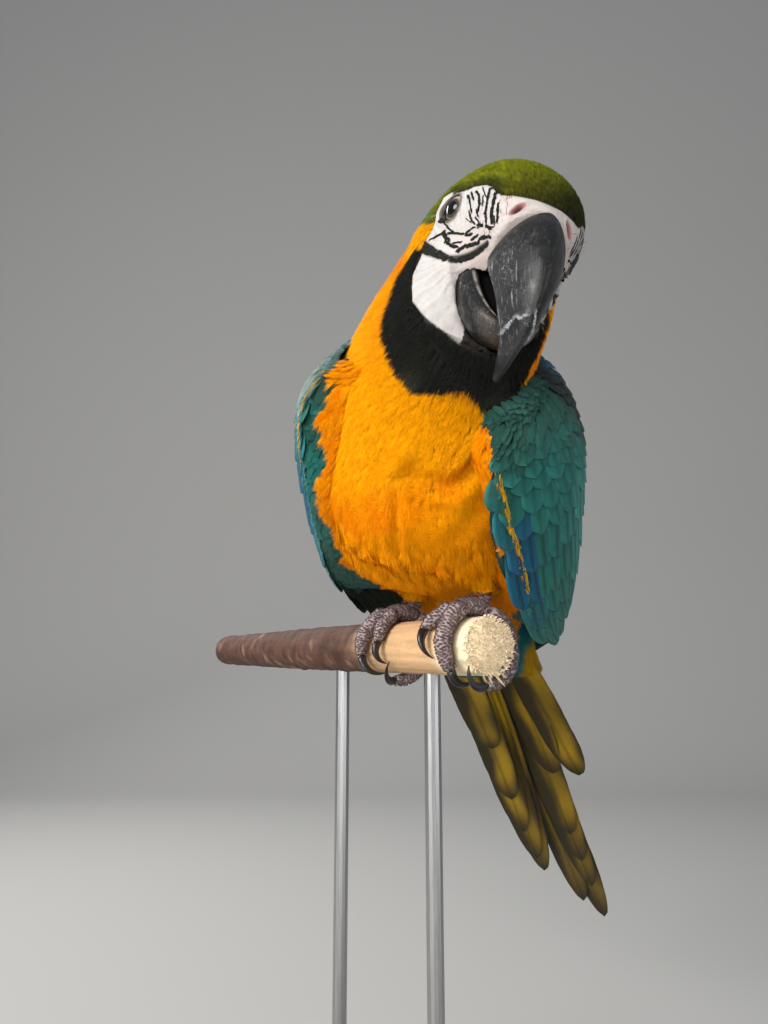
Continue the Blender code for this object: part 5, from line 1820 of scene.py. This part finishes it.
def stand_metal_material():
    """Brushed steel, its lines running up the rods."""
    made, tree, shader = new_material("stand_steel", 0.34, Metallic=1.0)
    lines = noise(tree, stretched(tree, (2500, 2500, 60)), 1.0, 3.0)
    tone, dull = fade(tree, lines, 0.0, 1.0, 0.3, 0.48), fade(tree, lines, 0.0, 1.0, 0.26, 0.44)
    feed(tree, shader, {"Base Color": tone, "Roughness": dull})
    bumped(tree, shader, lines, 0.00005, 0.4)
    return made


# ---------------------------------------------------------------- thighs

# How far along the perch each foot stands, in metres; where each thigh starts in the trunk's frame, and the
# thigh's radii down to the ankle, in millimetres.
FEET = {"left": 0.018, "right": 0.086}
HIPS = {"left": (-20.0, 20.0, -20.0), "right": (-62.0, -15.0, 10.0)}
THIGH_RADII = (19.0, 18.0, 15.5, 12.0, 9.0, 7.2)


def make_thigh_coat():
    """Short gold feathers down each thigh to the bare ankle."""
    plume = Plume()
    for name, along in FEET.items():
        hip = out_of(TRUNK, HIPS[name])
        ankle = PERCH_END + PERCH_AXIS * along + PERCH_BACK * 0.0115 + np.array((0, 0, PERCH_RADIUS + 0.013))
        line = unit(ankle - hip)
        side = unit(np.cross(PERCH_AXIS, line))
        up = np.cross(line, side)
        t = np.linspace(0.55, 1.04, 60)
        radius = spline([[r] for r in THIGH_RADII], np.clip(t, 0, 1) * 5)[:, 0] * MM
        turn = np.linspace(0, 2 * np.pi, 48, endpoint=False)
        ring = np.cos(turn)[:, None] * side + np.sin(turn)[:, None] * up
        points = (hip + (ankle - hip) * t[:, None])[:, None] + ring[None] * radius[:, None, None]
        cover = Cover(points, True, np.broadcast_to(ring[None], points.shape))
        u, v, gap = cover.scatter(np.full(points.shape[:2], 0.0017), tries=6000)
        colour = np.tile(GOLD, (len(u), 1)) * RANDOM.normal(0.95, 0.06, (len(u), 1))
        length = gap * RANDOM.uniform(4.0, 6.0, len(u))
        lay(plume, cover, Fan(9), u, v, length, length * 0.22, colour, sink=0.002, rise=0.0003,
            camber=0.05, rough=0.12, vary=0.05)
    return plume.make("coat_thighs", SOFT_FEATHERS)


# ---------------------------------------------------------------- stage, light and camera


def make_stage():
    """A pale floor that curves up into a backdrop."""
    bm = bmesh.new()
    profile = [(-2.5, 0.0), (1.6, 0.0)]
    profile += [(1.6 + 0.9 * math.sin(a), 0.9 - 0.9 * math.cos(a)) for a in np.linspace(0.1, math.pi / 2, 12)]
    profile += [(2.5, 5.0)]
    verts = [bm.verts.new((-4.5, y, z)) for y, z in profile]
    edges = [bm.edges.new(pair) for pair in zip(verts, verts[1:])]
    swept = bmesh.ops.extrude_edge_only(bm, edges=edges)
    moved = [g for g in swept["geom"] if isinstance(g, bmesh.types.BMVert)]
    bmesh.ops.translate(bm, verts=moved, vec=(9.0, 0, 0))
    bmesh.ops.recalc_face_normals(bm, faces=bm.faces)
    paper, tree, shader = new_material("stage_paper", 0.9, 0.2)
    feed(tree, shader, {"Base Color": (0.47, 0.46, 0.44, 1)})
    object_from(bm, "backdrop", paper)


def area_light(name, place, size, power, colour):
    """A round soft light that faces the bird."""
    light = bpy.data.lights.new(name, "AREA")
    light.shape, light.size, light.energy, light.color = "DISK", size, power, colour
    made = linked(name, light)
    made.location = place
    made.rotation_euler = (Vector((0.0, 0.0, 0.45)) - Vector(place)).to_track_quat("-Z", "Y").to_euler()


def make_light_and_camera():
    """Soft studio light from the left front, and the camera low in front of the perch."""
    scene = bpy.context.scene
    world = bpy.data.worlds.new("studio")
    world.use_nodes = True
    backing = world.node_tree.nodes["Background"]
    feed(world.node_tree, backing, {"Color": (0.8, 0.84, 0.9, 1), "Strength": 0.45})
    scene.world = world
    area_light("window", (-1.45, -1.25, 1.15), 1.0, 44, (1.0, 0.985, 0.96))
    area_light("fill", (1.4, -1.1, 0.5), 1.2, 8, (0.94, 0.97, 1.0))
    area_light("low_front", (-0.7, -1.7, 0.25), 1.0, 16, (1.0, 0.98, 0.95))
    area_light("rim", (-0.9, 1.0, 1.4), 0.7, 16, (1.0, 1.0, 1.0))
    camera = bpy.data.cameras.new("camera")
    camera.lens, camera.sensor_width, camera.sensor_fit = 26.0, 36.0, "AUTO"
    camera.clip_start = 0.01
    made = linked("camera", camera)
    made.location = (-0.03, -0.41, 0.356)
    made.rotation_euler = (math.radians(90 + 10.9), 0, 0)
    scene.camera = made
    scene.view_settings.view_transform = "Standard"


# ---------------------------------------------------------------- all together

EYE_SURFACE = eye_material()
HORN = horn_material("bill_horn_worn", 0.37, 260.0)
# Roughness, then the scale and strength of the uneven tone, and the height of its relief in metres.
CLAW = plain_material("claw_horn_dark", 0.28, 300.0, 0.5, 0.0001, specular=0.5)
SCALE_SKIN = plain_material("foot_scale_skin", 0.6, 1500.0, 0.35, 0.0001)
BRANCH = plain_material("branch_bark", 0.8, 700.0, 0.45, 0.0005)
FIBRE = plain_material("branch_fibre", 0.85, 900.0, 0.3, 0.0001)
SKIN = plain_material("bare_skin", 0.55, 900.0, 0.22, 0.00025, specular=0.35, relief=0.5)


def tint(made, colour, vary):
    """Gives every vertex of a piece the same colour, a little uneven."""
    uneven = wander(array_of(made.data), 0.003, 2.0)
    paint(made.data, np.asarray(colour) * (1 + vary * uneven)[:, None])


def main():
    """Makes every piece, hides the solids it stands in for, and gives it its body."""
    skin = dressed(finish_skin(thin_hidden(make_skin())), SKIN)
    make_body_coat()
    make_thigh_coat()
    for name in WINGS:
        make_wing_coat(name)
    make_tail()
    ground = SkinSide(skin)
    make_face_lines(ground)
    for side in EYES:
        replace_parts(make_eye(side), f"eye_{side}")
    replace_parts(upper_bill(), "bill_upper")
    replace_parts(lower_bill(), "bill_lower")
    make_scales()
    for toe in TOES:
        claw = smooth_copy(toe.replace("toe", "claw"), toe.replace("toe", "nail"), 2, CLAW)
        tint(claw, (0.016, 0.014, 0.014), 0.4)
        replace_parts(claw, toe.replace("toe", "claw"))
    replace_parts(make_perch(), "perch")
    make_perch_end()
    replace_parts(skin, *FLESH, *TOES)
    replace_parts(bpy.data.objects["tail_feathers"], *TAIL_FEATHERS)
    for name in WINGS:
        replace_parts(bpy.data.objects[f"quills_{name}"], f"wing_{name}_flight")
    wood, metal = stand_wood_material(), stand_metal_material()
    for node, made in frame["nodes"].items():
        if node.startswith("stand_"):
            made.material_slots[0].material = wood if node == "stand_base" else metal
    for made in list(bpy.context.scene.objects):
        if made.type != "MESH" or made.name == "backdrop" or made.name in frame["nodes"]:
            continue
        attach(made, "root")


main()
make_stage()
make_light_and_camera()
